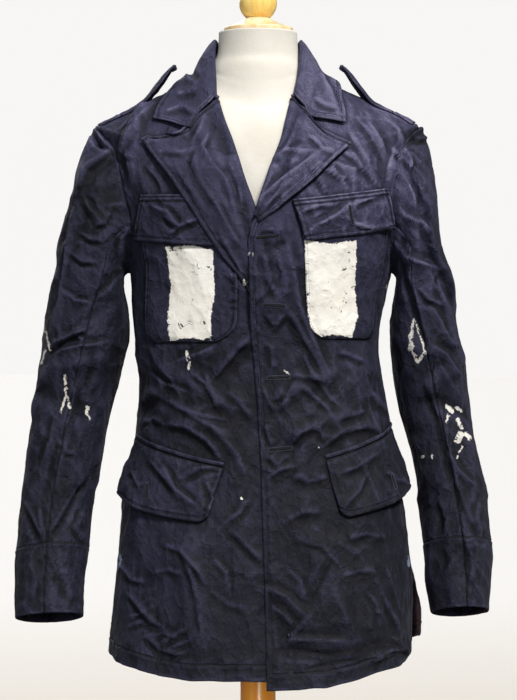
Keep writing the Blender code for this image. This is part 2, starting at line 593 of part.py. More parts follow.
def sleeve(name, left, upper):
    """The top or the under piece of a sleeve, between its front and back seams."""
    rows = Sections(SLEEVE_COLUMNS, LEFT_SLEEVE_ROWS if left else RIGHT_SLEEVE_ROWS)
    seam = rows.at(SLEEVE_RINGS)["seam"]
    count = round((180 + 2 * 30) / SLEEVE_STEP) if upper else round((180 - 2 * 30) / SLEEVE_STEP)
    gap = SLEEVE_SEAM_HALF
    across = np.linspace(0, 1, count + 1)[None, :]
    if upper:
        start, stop = seam + gap, 180 - seam - gap
    else:
        start, stop = seam - gap, -180 - seam + gap
    degrees = start[:, None] + (stop - start)[:, None] * across
    ring = np.repeat(SLEEVE_RINGS[:, None], count + 1, axis=1)
    grid = sleeve_point(left, ring, np.radians(degrees))
    return cloth(name, grid, flip=left != upper)


def lapel(name, left):
    """The turned-back facing, rolled round the front's edge and lying on the front."""
    table = np.array(LEFT_LAPEL_ROWS if left else RIGHT_LAPEL_ROWS)
    notch = NOTCH_LEFT if left else NOTCH_RIGHT
    rows = Sections(ROLL_COLUMNS, table).at(np.linspace(0, len(table) - 1, 18))
    roll = np.stack([rows["roll_x"], rows["z"]], axis=-1)
    edge = np.stack([rows["edge_x"], rows["edge_z"]], axis=-1)
    outward = unit(edge - roll)
    along = unit(np.gradient(roll, axis=0))
    square = np.stack([along[:, 1], -along[:, 0]], axis=-1)
    square *= np.sign((square * outward).sum(axis=-1, keepdims=True))
    width = np.linalg.norm(edge - roll, axis=-1)
    columns = []
    for off, out in LAPEL_NOSE:
        place = roll + square * off
        columns.append(on_front(place[:, 0], place[:, 1], out, not left))
    for part in LAPEL_SHARES:
        place = roll + (edge - roll) * part
        bend = np.exp(-np.arange(18) / 1.4) * (1 - abs(2 * part - 1.15))
        corner = np.array(notch) - (roll[0] + edge[0]) / 2
        place = place + bend[:, None] * corner * (1.0 if part < 1 else 0.0)
        distance = width * part
        high = smooth((place[:, 1] - 0.725) / 0.05) if left else smooth(width / 0.03)
        rise = smooth((distance - 0.013) / 0.013) * LAPEL_RISE * (0.12 + 0.88 * high)
        columns.append(on_front(place[:, 0], place[:, 1], LAPEL_OUT + rise, not left))
    return cloth(name, np.stack(columns, axis=1), TWO_PLY, flip=not left)


def collar(name):
    """The stand, the fold and the fall in one turned piece, from end to end round the neck."""
    half = np.linspace(0, 6, 12)
    sides = []
    for mirror, front_rows in ((-1, COLLAR_LEFT_ROWS), (1, COLLAR_RIGHT_ROWS)):
        row = Sections(COLLAR_COLUMNS, COLLAR_BACK_ROWS + front_rows).at(half)
        fold = np.stack([row["fold_x"], row["fold_y"], row["fold_z"]], axis=-1)
        columns = []
        base = plain_trunk(row["base_station"], np.radians(row["base_deg"]))
        inner = unit(np.stack([-fold[:, 0], -fold[:, 1], 0 * half], axis=-1))
        stand_top = fold + inner * 0.0030 + np.array([0, 0, -0.0030])
        end = smooth((half - 5.0) / 1.0)[:, None]
        foot = base + inner * 0.0006 + np.array([0, 0, 0.0008 + SEAM_GAP])
        foot = foot * (1 - end) + (stand_top + np.array([0, 0.0018, -0.0010])) * end
        columns.append(foot)
        columns.append((foot + stand_top) / 2)
        columns.append(stand_top)
        columns.append(fold)
        fold_out = fold - inner * FOLD_WIDTH + np.array([0, 0, -0.0028])
        columns.append(fold_out)
        mid_angle, outer_angle = np.radians(row["mid_deg"]), np.radians(row["edge_deg"])
        mid = trunk(row["mid_station"], mid_angle, COLLAR_OUT)
        edge = trunk(row["edge_station"], outer_angle, COLLAR_EDGE_OUT)
        upper_out = trunk_normal(row["mid_station"], mid_angle) * COLLAR_BELLY
        lower_out = trunk_normal(row["edge_station"], outer_angle) * COLLAR_BELLY / 2
        columns.append((fold_out + mid) / 2 + upper_out)
        columns.append(mid)
        columns.append((mid + edge) / 2 + lower_out)
        columns.append(edge)
        grid = np.stack(columns, axis=1)
        grid[..., 0] *= mirror
        sides.append(grid)
    return cloth(name, np.concatenate([sides[0][::-1], sides[1][1:]]), TWO_PLY, flip=True)


def patch(corners, rows, columns, rounding=0.0):
    """A front-view grid between four corners, its lower corners rounded."""
    (tl, tr, br, bl) = [np.array(corner) for corner in corners]
    down = smooth_steps(rows, rounding, np.linalg.norm(tl - bl))
    across = np.linspace(0, 1, columns)[None, :, None]
    down = down[:, None, None]
    grid = (tl * (1 - across) + tr * across) * (1 - down) + (bl * (1 - across) + br * across) * down
    if rounding:
        height, width = np.linalg.norm(tl - bl), np.linalg.norm(tr - tl)
        near = np.clip((down - (1 - rounding / height)) / (rounding / height), 0, 1)
        pull = rounding / width * (1 - np.sqrt(np.clip(1 - (0.97 * near) ** 2, 0, 1)))
        centre = grid.mean(axis=1, keepdims=True)
        grid = centre + (grid - centre) * (1 - 2 * pull)
    return grid


def smooth_steps(rows, rounding, height):
    """Even rows, drawn closer round the corners at the bottom."""
    if not rounding:
        return np.linspace(0, 1, rows)
    start = 1 - rounding / height
    arc = np.sin(np.radians(np.linspace(0, 90, 5)))
    return np.concatenate([np.linspace(0, start, rows - 4)[:-1], start + (1 - start) * arc])


def front_patch(corners, rows, columns, out, left, rounding=0.0):
    """A grid on the front between four corners of the front view, even along the cloth."""
    places = np.array(corners)
    stations = station_for(places[:, 1], lambda s: front_angle(places[:, 0], s))
    angles = front_angle(places[:, 0], stations)
    place = patch(np.stack([angles * FRONT_RADIUS, places[:, 1]], axis=-1), rows, columns, rounding)
    return at_height(place[..., 0] / FRONT_RADIUS, place[..., 1], out, not left)


def chest_pocket(name, corners, left):
    grid = front_patch(corners, 11, 10, LAY_GAP + POCKET_CLOTH, left, POCKET_ROUNDING)
    return cloth(name, grid, POCKET_CLOTH, flip=True)


def chest_flap(name, corners, left):
    down = np.linspace(0, 1, 5)[:, None]
    out = 2 * LAY_GAP + POCKET_CLOTH + CHEST_FLAP_CLOTH + 0.0006 * down
    grid = front_patch(corners, 5, 11, out, left)
    return cloth(name, grid, CHEST_FLAP_CLOTH, flip=True)


def hip_grid(table, top, low, rows, columns):
    edges = Sections(HIP_COLUMNS, table).at(np.linspace(0, len(table) - 1, columns))
    down = np.linspace(top, low, rows)[:, None]
    degrees = edges["top_deg"] * (1 - down) + edges["low_deg"] * down
    z = edges["top_z"] * (1 - down) + edges["low_z"] * down
    return FRONT_MIDDLE + np.radians(degrees), z


def hip_flap(name, table, left):
    angle, z = hip_grid(table, 0.0, 1.0, 6, 13)
    down = np.linspace(0, 1, 6)[:, None]
    outer = np.linspace(0, 1, 13)[None, :]
    flare = FLAP_FLARE[0] if left else FLAP_FLARE[1]
    out = HIP_GAP + TWO_PLY + flare * (0.2 + 0.8 * outer ** 2) * smooth(down)
    return cloth(name, at_height(angle, z, out, not left), TWO_PLY, flip=not left)


def hip_welt(name, table, left):
    height = WELT_HEIGHT / (table[0][1] - table[0][3])
    angle, z = hip_grid(table, -WELT_LIFT - height, -WELT_LIFT, 2, 13)
    return cloth(name, at_height(angle, z, HIP_GAP + TWO_PLY, not left), TWO_PLY, flip=not left)


def strap(name, left):
    """Sewn in at the armhole, flat on the shoulder, then rising to a loose rounded end."""
    x = np.linspace(STRAP_LENGTH_X[0], STRAP_LENGTH_X[1], 12)
    columns = []
    for across in np.linspace(-1, 1, 6):
        tip = 1 - 0.35 * smooth((0.125 - x) / 0.02)
        y = across * STRAP_HALF_WIDTH * tip
        flat = smooth((STRAP_LIE_END - x) / (STRAP_LIE_END - STRAP_LENGTH_X[1]))
        station = station_for_x(x)
        turn = np.arcsin(np.clip(y / TRUNK.at(station)["front_depth"], -1, 1))
        over = trunk(station, LEFT_SIDE - turn if left else turn, STRAP_GAP + TWO_PLY)
        over = over + np.stack([0 * x, 0 * x, STRAP_RISE * flat], axis=-1)
        columns.append(over)
    return cloth(name, np.stack(columns, axis=1), TWO_PLY, flip=left)


def station_for_x(x):
    """The station whose side seam lies at a distance from the middle, on the shoulder line."""
    stations = np.linspace(SHOULDER, NECK, 60)
    widths = TRUNK.at(stations)["half_width"]
    return np.interp(-x, -widths, stations)


def form_torso(name, columns=22):
    """The dress form, whole, drawn in from the jacket and seated under its shoulders."""
    angle = np.radians(np.arange(columns) * 360 / columns - 180)
    rings = []
    for station, gap in FORM_CLEARANCE:
        rings.append(trunk_plain_in(station, angle, CLOTH + gap))
    for z, half_width, half_depth, middle in FORM_NECK:
        rings.append(np.stack([half_width * np.cos(angle), middle + half_depth * np.sin(angle),
                               np.full_like(angle, z)], axis=-1))
    rings[0][:, 2] = FORM_BOTTOM
    mesh = bmesh.new()
    loops = [[mesh.verts.new(tuple(map(float, p))) for p in ring] for ring in rings]
    for low, high in zip(loops, loops[1:]):
        for i in range(columns):
            j = (i + 1) % columns
            mesh.faces.new((low[i], low[j], high[j], high[i]))
    mesh.faces.new(loops[0][::-1])
    mesh.faces.new(loops[-1])
    data = bpy.data.meshes.new(name)
    mesh.to_mesh(data)
    mesh.free()
    obj = bpy.data.objects.new(name, data)
    bpy.context.scene.collection.objects.link(obj)
    return finish_object(obj, CREAM, 0.8)


def trunk_plain_in(station, angle, inset):
    station = np.full_like(angle, station)
    plain = plain_trunk(station, angle)
    return plain - trunk_normal(station, angle) * inset


def turned(name, profile, colour, steps):
    """A turned piece: a profile of radius and height, from the bottom of its axis to the top."""
    mesh = bpy.data.meshes.new(name)
    points = [(radius, 0.0, z) for radius, z in reversed(profile)]
    mesh.from_pydata(points, [(i, i + 1) for i in range(len(points) - 1)], [])
    obj = bpy.data.objects.new(name, mesh)
    bpy.context.scene.collection.objects.link(obj)
    spin = obj.modifiers.new("spin", "SCREW")
    spin.steps = steps
    spin.render_steps = steps
    spin.use_merge_vertices = True
    spin.merge_threshold = 0.00001
    return finish_object(obj, colour, 0.4)


def ball_profile():
    """The finial: a short neck that widens into the ball."""
    seat = CAP_TOP + SEAM_GAP
    low = math.asin(BALL_SEAT_RADIUS / BALL_RADIUS)
    turns = np.linspace(math.pi - low, 0, 11)
    profile = [(0.0, seat), (BALL_SEAT_RADIUS, seat)]
    for turn in turns:
        profile.append((BALL_RADIUS * math.sin(turn), BALL_CENTRE + BALL_RADIUS * math.cos(turn)))
    profile[-1] = (0.0, BALL_CENTRE + BALL_RADIUS)
    return profile


front("front_left", True)
front("front_right", False)
back("back")
for word, is_left in (("left", True), ("right", False)):
    sleeve(f"top_sleeve_{word}", is_left, True)
    sleeve(f"under_sleeve_{word}", is_left, False)
    lapel(f"lapel_{word}", is_left)
    strap(f"shoulder_strap_{word}", is_left)
collar("collar")
chest_pocket("chest_pocket_left", CHEST_POCKET_LEFT, True)
chest_pocket("chest_pocket_right", CHEST_POCKET_RIGHT, False)
chest_flap("chest_flap_left", CHEST_FLAP_LEFT, True)
chest_flap("chest_flap_right", CHEST_FLAP_RIGHT, False)
hip_flap("hip_flap_left", HIP_FLAP_LEFT, True)
hip_flap("hip_flap_right", HIP_FLAP_RIGHT, False)
hip_welt("hip_welt_left", HIP_FLAP_LEFT, True)
hip_welt("hip_welt_right", HIP_FLAP_RIGHT, False)

form_torso("form_torso")
turned("form_cap", CAP_PROFILE, PALE_WOOD, TURNED_STEPS)
turned("form_finial", ball_profile(), PALE_WOOD, BALL_STEPS)
turned("stand_pole", POLE_PROFILE, ORANGE_WOOD, TURNED_STEPS)
turned("stand_base", BASE_PROFILE, ORANGE_WOOD, BASE_STEPS)
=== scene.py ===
"""Looks of the twill jacket on its dress form: cloth shells, creases, sewing, stains and woods."""
import math

import bpy
import numpy as np
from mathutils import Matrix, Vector


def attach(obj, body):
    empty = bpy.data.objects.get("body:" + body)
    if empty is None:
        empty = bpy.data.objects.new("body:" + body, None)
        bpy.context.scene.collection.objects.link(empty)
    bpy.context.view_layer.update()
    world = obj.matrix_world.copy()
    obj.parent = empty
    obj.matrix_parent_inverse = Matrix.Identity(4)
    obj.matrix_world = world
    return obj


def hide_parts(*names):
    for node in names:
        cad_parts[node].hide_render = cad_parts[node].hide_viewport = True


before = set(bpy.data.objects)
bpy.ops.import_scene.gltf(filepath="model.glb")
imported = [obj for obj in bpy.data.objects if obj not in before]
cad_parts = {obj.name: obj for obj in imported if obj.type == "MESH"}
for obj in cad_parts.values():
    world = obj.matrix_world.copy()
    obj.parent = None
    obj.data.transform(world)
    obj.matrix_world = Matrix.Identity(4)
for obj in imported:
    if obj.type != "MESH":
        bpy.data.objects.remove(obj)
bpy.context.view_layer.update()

# The camera, level and straight in front. A pixel is its share of the plane through the object's
# middle. Creases and stains below are placed as this camera sees them, in its pixels.
CAMERA_DISTANCE = 3.0
CAMERA_HEIGHT = 0.65
MIDDLE_U, MIDDLE_V = 258.0, 350.0
PIXEL = 0.00128
FRAME_WIDTH, FRAME_HEIGHT = 517, 700
SENSOR = 36.0

scene = bpy.context.scene
lens = bpy.data.cameras.new("camera")
lens.lens = CAMERA_DISTANCE / (PIXEL * FRAME_HEIGHT) * SENSOR
lens.sensor_width = SENSOR
lens.shift_x = (FRAME_WIDTH / 2 - MIDDLE_U) / FRAME_HEIGHT
camera = bpy.data.objects.new("camera", lens)
scene.collection.objects.link(camera)
camera.location = (0.0, -CAMERA_DISTANCE, CAMERA_HEIGHT)
camera.rotation_euler = (math.radians(90), 0, 0)
scene.camera = camera

# Copies of the sizes and curves from which the solids are built
# Cloth sizes
CLOTH = 0.0020            # one layer of twill with its seam allowance
TWO_PLY = 0.0026          # collar, lapels, straps and hip flaps are turned double
POCKET_CLOTH = 0.0015
CHEST_FLAP_CLOTH = 0.0022
SEAM_GAP = 0.0003
LAY_GAP = 0.0011          # between a panel and what is sewn flat on it
HIP_GAP = 0.0005          # the same for the hip welts and flaps
STRAP_GAP = 0.0006        # and for the shoulder straps

# Stand sizes
FORM_BOTTOM = 0.360
NECK_TOP = 1.056
CAP_TOP = 1.0745
BALL_RADIUS = 0.0243
BALL_CENTRE = 1.0940
BALL_SEAT_RADIUS = 0.0155
# Profiles of the turned pieces as radius and height, from the bottom of the axis to the top.
CAP_PROFILE = (
    (0.0000, 1.0563), (0.0450, 1.0563), (0.0450, 1.0605), (0.0435, 1.0620), (0.0410, 1.0620),
    (0.0270, 1.0680), (0.0180, 1.0732), (0.0155, 1.0745), (0.0000, 1.0745),
)
POLE_PROFILE = ((0.0, 0.0303), (0.0225, 0.0303), (0.0225, 0.3597), (0.0, 0.3597))
BASE_PROFILE = (
    (0.0, 0.0), (0.147, 0.0), (0.150, 0.003), (0.150, 0.018), (0.145, 0.025), (0.134, 0.030),
    (0.0, 0.030),
)

# Trunk sections, hem to neck. side_z is the height at the side seam, the drops are how far the
# middle of the front and back hang below it, and squareness is the superellipse exponent.
TRUNK_COLUMNS = ("side_z", "front_drop", "back_drop", "half_width", "shift",
                 "front_depth", "back_depth", "squareness")
TRUNK_ROWS = (
    (0.262, 0.026, 0.004, 0.1950, 0.003, 0.146, 0.128, 2.35),
    (0.300, 0.018, 0.003, 0.1930, 0.005, 0.143, 0.124, 2.35),
    (0.347, 0.010, 0.001, 0.1900, 0.006, 0.139, 0.120, 2.35),
    (0.393, 0.005, 0.000, 0.1860, 0.007, 0.134, 0.116, 2.35),
    (0.430, 0.002, 0.000, 0.1815, 0.006, 0.130, 0.111, 2.35),
    (0.468, 0.000, 0.000, 0.1770, 0.006, 0.125, 0.106, 2.35),
    (0.512, 0.000, 0.000, 0.1690, 0.008, 0.119, 0.099, 2.30),
    (0.558, 0.000, 0.000, 0.1610, 0.008, 0.112, 0.091, 2.30),
    (0.605, 0.000, 0.000, 0.1560, 0.005, 0.108, 0.087, 2.30),
    (0.655, 0.000, 0.000, 0.1550, 0.000, 0.108, 0.088, 2.30),
    (0.702, 0.000, 0.000, 0.1590, 0.001, 0.112, 0.092, 2.30),
    (0.748, 0.000, 0.000, 0.1660, 0.003, 0.118, 0.098, 2.30),
    (0.792, 0.002, 0.001, 0.1760, 0.003, 0.123, 0.104, 2.30),
    (0.836, 0.004, 0.002, 0.1850, 0.002, 0.125, 0.108, 2.30),
    (0.878, 0.014, 0.008, 0.1940, 0.000, 0.121, 0.109, 2.25),
    (0.912, 0.030, 0.020, 0.2010, -0.001, 0.113, 0.107, 2.15),
    (0.934, 0.045, 0.033, 0.2065, -0.002, 0.106, 0.103, 2.10),
    (0.9385, 0.0465, 0.0335, 0.1980, -0.002, 0.104, 0.102, 2.08),
    (0.9485, 0.050, 0.034, 0.1780, -0.001, 0.100, 0.099, 2.05),
    (0.9625, 0.050, 0.029, 0.1500, 0.000, 0.094, 0.094, 2.02),
    (0.9775, 0.046, 0.020, 0.1200, 0.000, 0.086, 0.086, 2.00),
    (0.9915, 0.042, 0.008, 0.0920, 0.000, 0.076, 0.076, 2.00),
    (1.0040, 0.038, -0.004, 0.0700, 0.000, 0.066, 0.066, 2.00),
)
ARMPIT = 11.0             # stations of the lowest and highest points of the armholes
SHOULDER = 16.0
NECK = 22.0
ARM_FRONT = math.radians(30)   # how far each armhole is scooped into the front and the back
ARM_BACK = math.radians(27)
ARM_MIDDLE = (ARMPIT + SHOULDER) / 2
ARM_HALF = (SHOULDER - ARMPIT) / 2
LEFT_SIDE = math.pi       # angle of the side seam on the viewer's left
FRONT_MIDDLE = -math.pi / 2
FRONT_RADIUS = 0.15       # turns an angle on the front into a length along the cloth

# Largest folds of the trunk, as long soft ridges (height > 0) and troughs (height < 0): 1 on the
# back or 0, x_a, z_a, x_b, z_b (its ends as seen from the front), reach and height.
FOLD_ROWS = (
    (0, -0.150, 0.900, -0.168, 0.840, 0.013, 0.0055),    # drape beside the left armhole
    (0, 0.166, 0.872, 0.172, 0.800, 0.012, 0.0045),      # drape beside the right armhole
    (0, -0.115, 0.574, -0.045, 0.546, 0.011, 0.0045),    # puff above the left hip flap
    (0, 0.045, 0.545, 0.105, 0.570, 0.013, 0.0040),      # puff above the right hip flap
    (0, -0.110, 0.630, -0.030, 0.580, 0.013, 0.0035),    # drag lines below the chest pockets
    (0, 0.090, 0.624, 0.015, 0.588, 0.012, 0.0035),
    (0, -0.148, 0.615, -0.138, 0.570, 0.012, -0.0040),   # waist darts
    (0, 0.146, 0.612, 0.140, 0.580, 0.012, -0.0035),
    (0, -0.085, 0.400, -0.070, 0.300, 0.020, 0.0060),    # skirt
    (0, -0.140, 0.360, -0.118, 0.262, 0.020, -0.0050),
    (0, 0.080, 0.395, 0.110, 0.280, 0.022, 0.0060),
    (0, 0.020, 0.330, 0.055, 0.260, 0.018, -0.0045),
    (1, -0.100, 0.930, -0.060, 0.780, 0.020, 0.0050),    # back, between the shoulders
    (1, 0.105, 0.920, 0.070, 0.760, 0.020, 0.0050),
    (1, -0.110, 0.620, 0.020, 0.570, 0.014, 0.0045),     # back waist
    (1, 0.120, 0.600, 0.000, 0.545, 0.014, 0.0040),
    (1, -0.070, 0.450, -0.085, 0.270, 0.024, 0.0070),    # back skirt
    (1, 0.075, 0.440, 0.095, 0.270, 0.024, 0.0070),
    (1, 0.000, 0.460, 0.005, 0.270, 0.022, -0.0060),
)
FOLD_SIDE_DEPTH = 0.04    # folds die away towards the side seams over this depth

# Roll lines, lapel edges and front edges, in the front view.
ROLL_COLUMNS = ("z", "roll_x", "edge_x", "edge_z")
LEFT_LAPEL_ROWS = (       # turned back from the viewer's left front
    (0.9620, -0.0520, -0.1430, 0.9080),
    (0.9350, -0.0440, -0.1270, 0.8880),
    (0.9050, -0.0330, -0.1080, 0.8640),
    (0.8600, -0.0190, -0.0810, 0.8250),
    (0.8180, -0.0040, -0.0530, 0.7810),
    (0.7700, 0.0080, -0.0190, 0.7350),
    (0.7230, 0.0170, -0.0030, 0.7080),
)
RIGHT_LAPEL_ROWS = (
    (0.9645, 0.0440, 0.1150, 0.9020),
    (0.9420, 0.0390, 0.0960, 0.8860),
    (0.9100, 0.0310, 0.0760, 0.8670),
    (0.8780, 0.0190, 0.0580, 0.8510),
    (0.8450, 0.0080, 0.0350, 0.8330),
    (0.8150, -0.0020, 0.0020, 0.8080),
)
# How a lapel turns: off the roll line and out from the front, then shares of its width.
LAPEL_NOSE = ((-0.0037, -0.0015), (-0.0033, 0.0018), (-0.0004, 0.0039))
LAPEL_SHARES = (0.14, 0.28, 0.44, 0.60, 0.76, 0.89, 1.0)
LAPEL_OUT = 0.0038        # out from the front beside the roll line
LAPEL_RISE = 0.0057       # and how much farther it rides where the cloth below is double
NOTCH_LEFT = (-0.0890, 0.9145)       # corner where the gorge seam meets the lapel's top edge
NOTCH_RIGHT = (0.0665, 0.9293)
# Free edges of the fronts below the roll lines and above them: z and x in the front view.
RIGHT_EDGE_BELOW = (      # viewer's right front, the top layer
    (0.230, 0.0105), (0.300, 0.0100), (0.365, 0.0080), (0.440, 0.0055), (0.510, 0.0035),
    (0.585, -0.0010), (0.660, -0.0080), (0.725, -0.0105), (0.786, -0.0120), (0.806, -0.0070),
)
RIGHT_EDGE_ABOVE = (1.010, 0.0500)
LEFT_EDGE_BELOW = (       # viewer's left front, whose underlap runs under the other front
    (0.230, 0.0440), (0.400, 0.0420), (0.550, 0.0350), (0.640, 0.0280), (0.710, 0.0200),
)
LEFT_EDGE_ABOVE = (1.010, -0.0560)
OVERLAP_LIFT = 0.0032     # the top front rides over the underlap
LAPEL_LIFT = 0.0108       # and higher where the other lapel runs beneath it
UNDERLAP_REACH = (0.046, 0.088)      # front-view x between which each lift dies away
LAPEL_REACH = (0.018, 0.062)
LAPEL_FOOT = (0.660, 0.710)          # heights between which the lapel's lift begins
OVERLAP_END = (0.830, 0.880)         # and both lifts end

# Sleeves, armhole to cuff: the outer and the inner line in the front view, the middle's y, half
# the depth front to back, the slope of the ring (front edge higher), and where the front seam lies.
SLEEVE_COLUMNS = ("outer_x", "outer_z", "inner_x", "inner_z", "middle_y", "half_depth", "slope",
                  "seam")
LEFT_SLEEVE_ROWS = (
    (0.2080, 0.9360, 0.1630, 0.7500, 0.000, 0.072, 0.00, -30),
    (0.2165, 0.9240, 0.1700, 0.7430, -0.002, 0.074, 0.00, -29),
    (0.2240, 0.8950, 0.1725, 0.7340, -0.003, 0.073, 0.00, -27),
    (0.2360, 0.8400, 0.1710, 0.7190, -0.003, 0.070, 0.00, -22),
    (0.2520, 0.7800, 0.1680, 0.6990, -0.001, 0.067, 0.02, -16),
    (0.2670, 0.7200, 0.1680, 0.6720, 0.002, 0.064, 0.04, -10),
    (0.2770, 0.6560, 0.1740, 0.6320, 0.006, 0.061, 0.06, -5),
    (0.2870, 0.5860, 0.1880, 0.5750, 0.009, 0.056, 0.10, -2),
    (0.2940, 0.5300, 0.1985, 0.5220, 0.006, 0.053, 0.15, 0),
    (0.3020, 0.4600, 0.2110, 0.4550, -0.002, 0.050, 0.19, 2),
    (0.3085, 0.3970, 0.2150, 0.3950, -0.012, 0.049, 0.22, 4),
    (0.3085, 0.3500, 0.2180, 0.3500, -0.021, 0.047, 0.24, 5),
    (0.3060, 0.3080, 0.2190, 0.3130, -0.028, 0.046, 0.25, 6),
)
RIGHT_SLEEVE_ROWS = (
    (0.2045, 0.9360, 0.1680, 0.7500, 0.000, 0.072, 0.00, -30),
    (0.2140, 0.9240, 0.1760, 0.7430, -0.002, 0.074, 0.00, -29),
    (0.2220, 0.8950, 0.1780, 0.7340, -0.003, 0.073, 0.00, -27),
    (0.2275, 0.8400, 0.1760, 0.7190, -0.003, 0.070, 0.00, -22),
    (0.2330, 0.7800, 0.1720, 0.6990, -0.001, 0.067, 0.02, -16),
    (0.2470, 0.7200, 0.1690, 0.6720, 0.002, 0.064, 0.04, -10),
    (0.2590, 0.6560, 0.1720, 0.6320, 0.006, 0.061, 0.06, -5),
    (0.2700, 0.5860, 0.1830, 0.5750, 0.009, 0.056, 0.10, -2),
    (0.2780, 0.5260, 0.1955, 0.5220, 0.006, 0.053, 0.15, 0),
    (0.2895, 0.4600, 0.2050, 0.4550, -0.002, 0.050, 0.19, 2),
    (0.2955, 0.3970, 0.2115, 0.3950, -0.012, 0.049, 0.22, 4),
    (0.2965, 0.3560, 0.2150, 0.3520, -0.021, 0.047, 0.24, 5),
    (0.2945, 0.3190, 0.2185, 0.3170, -0.028, 0.046, 0.25, 6),
)
SLEEVE_SEAM_HALF = 0.12   # half the gap at the sleeve seams, in degrees round the sleeve
ARMPIT_EASE = 0.0030      # how far the under sleeve stands off the side seam at the armpit
RING_LENGTH = 0.055       # the sleeve's mean length from ring to ring, and its mean girth
SLEEVE_GIRTH = 0.33
SLEEVE_BLEND = 2.6        # rings over which the armhole's shape turns into the sleeve's own
# Largest folds of the sleeves: ring and angle (90 outer, 0 front) of one end and of the other,
# reach and height.
LEFT_SLEEVE_FOLDS = (
    (1.6, 55, 4.0, 75, 0.015, 0.0050),
    (2.5, 25, 4.6, 40, 0.013, -0.0045),
    (6.0, -30, 6.6, 60, 0.012, 0.0045),
    (6.8, 60, 7.2, -20, 0.012, -0.0045),
    (7.6, 0, 9.5, 45, 0.014, 0.0035),
    (3.0, 150, 6.0, 175, 0.018, 0.0050),
    (7.0, 120, 7.6, 200, 0.015, -0.0045),
)
RIGHT_SLEEVE_FOLDS = (
    (2.4, 30, 5.2, 62, 0.015, 0.0055),
    (2.6, 18, 4.4, 34, 0.012, -0.0035),
    (6.2, 60, 6.8, -25, 0.012, 0.0045),
    (6.9, -25, 7.3, 55, 0.012, -0.0045),
    (8.0, 50, 9.8, 10, 0.014, 0.0035),
    (3.0, 150, 6.0, 175, 0.018, 0.0050),
    (7.0, 120, 7.6, 200, 0.015, -0.0045),
)

# Collar, centre back to a front end. fold is the top of the roll, base is where the stand is sewn
# on, mid and edge are points of the fall by angle (degrees) and station. The last row's mid is the
# notch corner and its edge is the collar's tip.
COLLAR_COLUMNS = ("fold_x", "fold_y", "fold_z", "base_deg", "base_station", "mid_deg",
                  "mid_station", "edge_deg", "edge_station")
COLLAR_BACK_ROWS = (
    (0.0000, 0.0640, 1.0430, 90, 22.00, 90, 21.75, 90, 20.90),
    (0.0310, 0.0560, 1.0440, 60, 22.00, 60, 21.70, 60, 20.85),
    (0.0500, 0.0330, 1.0460, 30, 22.00, 31, 21.60, 31, 20.80),
    (0.0560, 0.0000, 1.0470, 0, 22.00, 3, 21.60, 6, 20.75),
)
COLLAR_LEFT_ROWS = (
    (0.0570, -0.0270, 1.0270, -24, 22.00, -20, 21.15, -10, 20.40),
    (0.0555, -0.0500, 0.9990, -42, 22.00, -40, 20.30, -23, 19.80),
    (0.0535, -0.0690, 0.9685, -52, 21.20, -56, 18.80, -37, 18.55),
)
COLLAR_RIGHT_ROWS = (
    (0.0550, -0.0270, 1.0270, -24, 22.00, -20, 21.20, -14, 20.45),
    (0.0520, -0.0500, 0.9990, -44, 22.00, -43, 20.60, -32, 19.90),
    (0.0455, -0.0700, 0.9705, -56, 21.40, -59, 19.70, -47, 18.70),
)

COLLAR_OUT = 0.0075       # the fall's middle and its edge, out from the trunk
COLLAR_EDGE_OUT = 0.0068
COLLAR_BELLY = 0.0020     # how far the fall rounds out between the fold and its middle
FOLD_WIDTH = 0.0034       # half the thickness of the rolled fold

# Pockets and flaps in the front view: the four corners, clockwise from the top left.
CHEST_POCKET_LEFT = ((-0.1460, 0.8270), (-0.0300, 0.8270), (-0.0255, 0.6600), (-0.1405, 0.6600))
CHEST_POCKET_RIGHT = ((0.0500, 0.8270), (0.1620, 0.8300), (0.1470, 0.6640), (0.0620, 0.6640))
CHEST_FLAP_LEFT = ((-0.1430, 0.8430), (-0.0430, 0.8400), (-0.0450, 0.7780), (-0.1510, 0.7880))
CHEST_FLAP_RIGHT = ((0.0415, 0.8340), (0.1560, 0.8515), (0.1635, 0.8025), (0.0570, 0.7850))
POCKET_ROUNDING = 0.028
# Hip flaps: angle from the front middle in degrees and height, inner edge then outer edge.
HIP_COLUMNS = ("top_deg", "top_z", "low_deg", "low_z")
HIP_FLAP_LEFT = (
    (-14.5, 0.5050, -18.0, 0.4370), (-47.0, 0.5230, -49.0, 0.4480), (-79.0, 0.5390, -80.0, 0.4660),
)
HIP_FLAP_RIGHT = (
    (23.5, 0.5140, 28.0, 0.4420), (53.0, 0.5340, 56.0, 0.4560), (81.0, 0.5520, 85.0, 0.4740),
)
WELT_HEIGHT = 0.007
WELT_LIFT = 0.03          # how far the welt lies above the flap, as a share of the flap's height
FLAP_FLARE = (0.0070, 0.0120)        # how far the lower outer corners stand off, left and right

# Shoulder straps lie from the armhole inwards, and their inner ends are loose and stand up.
STRAP_LENGTH_X = (0.2030, 0.1050)    # from the seam to the loose end
STRAP_HALF_WIDTH = 0.0215
STRAP_LIE_END = 0.152                # where the strap leaves the shoulder
STRAP_RISE = 0.027

# Vents: below this height the back's side edges swing out behind the fronts.
VENT_TOP = 0.385
VENT_SWING = 0.013
VENT_BACK = 0.008
BACK_HEM_RISE = 0.020
LEFT_HEM_RISE = 0.008                # the under front's hem is shorter at its free edge

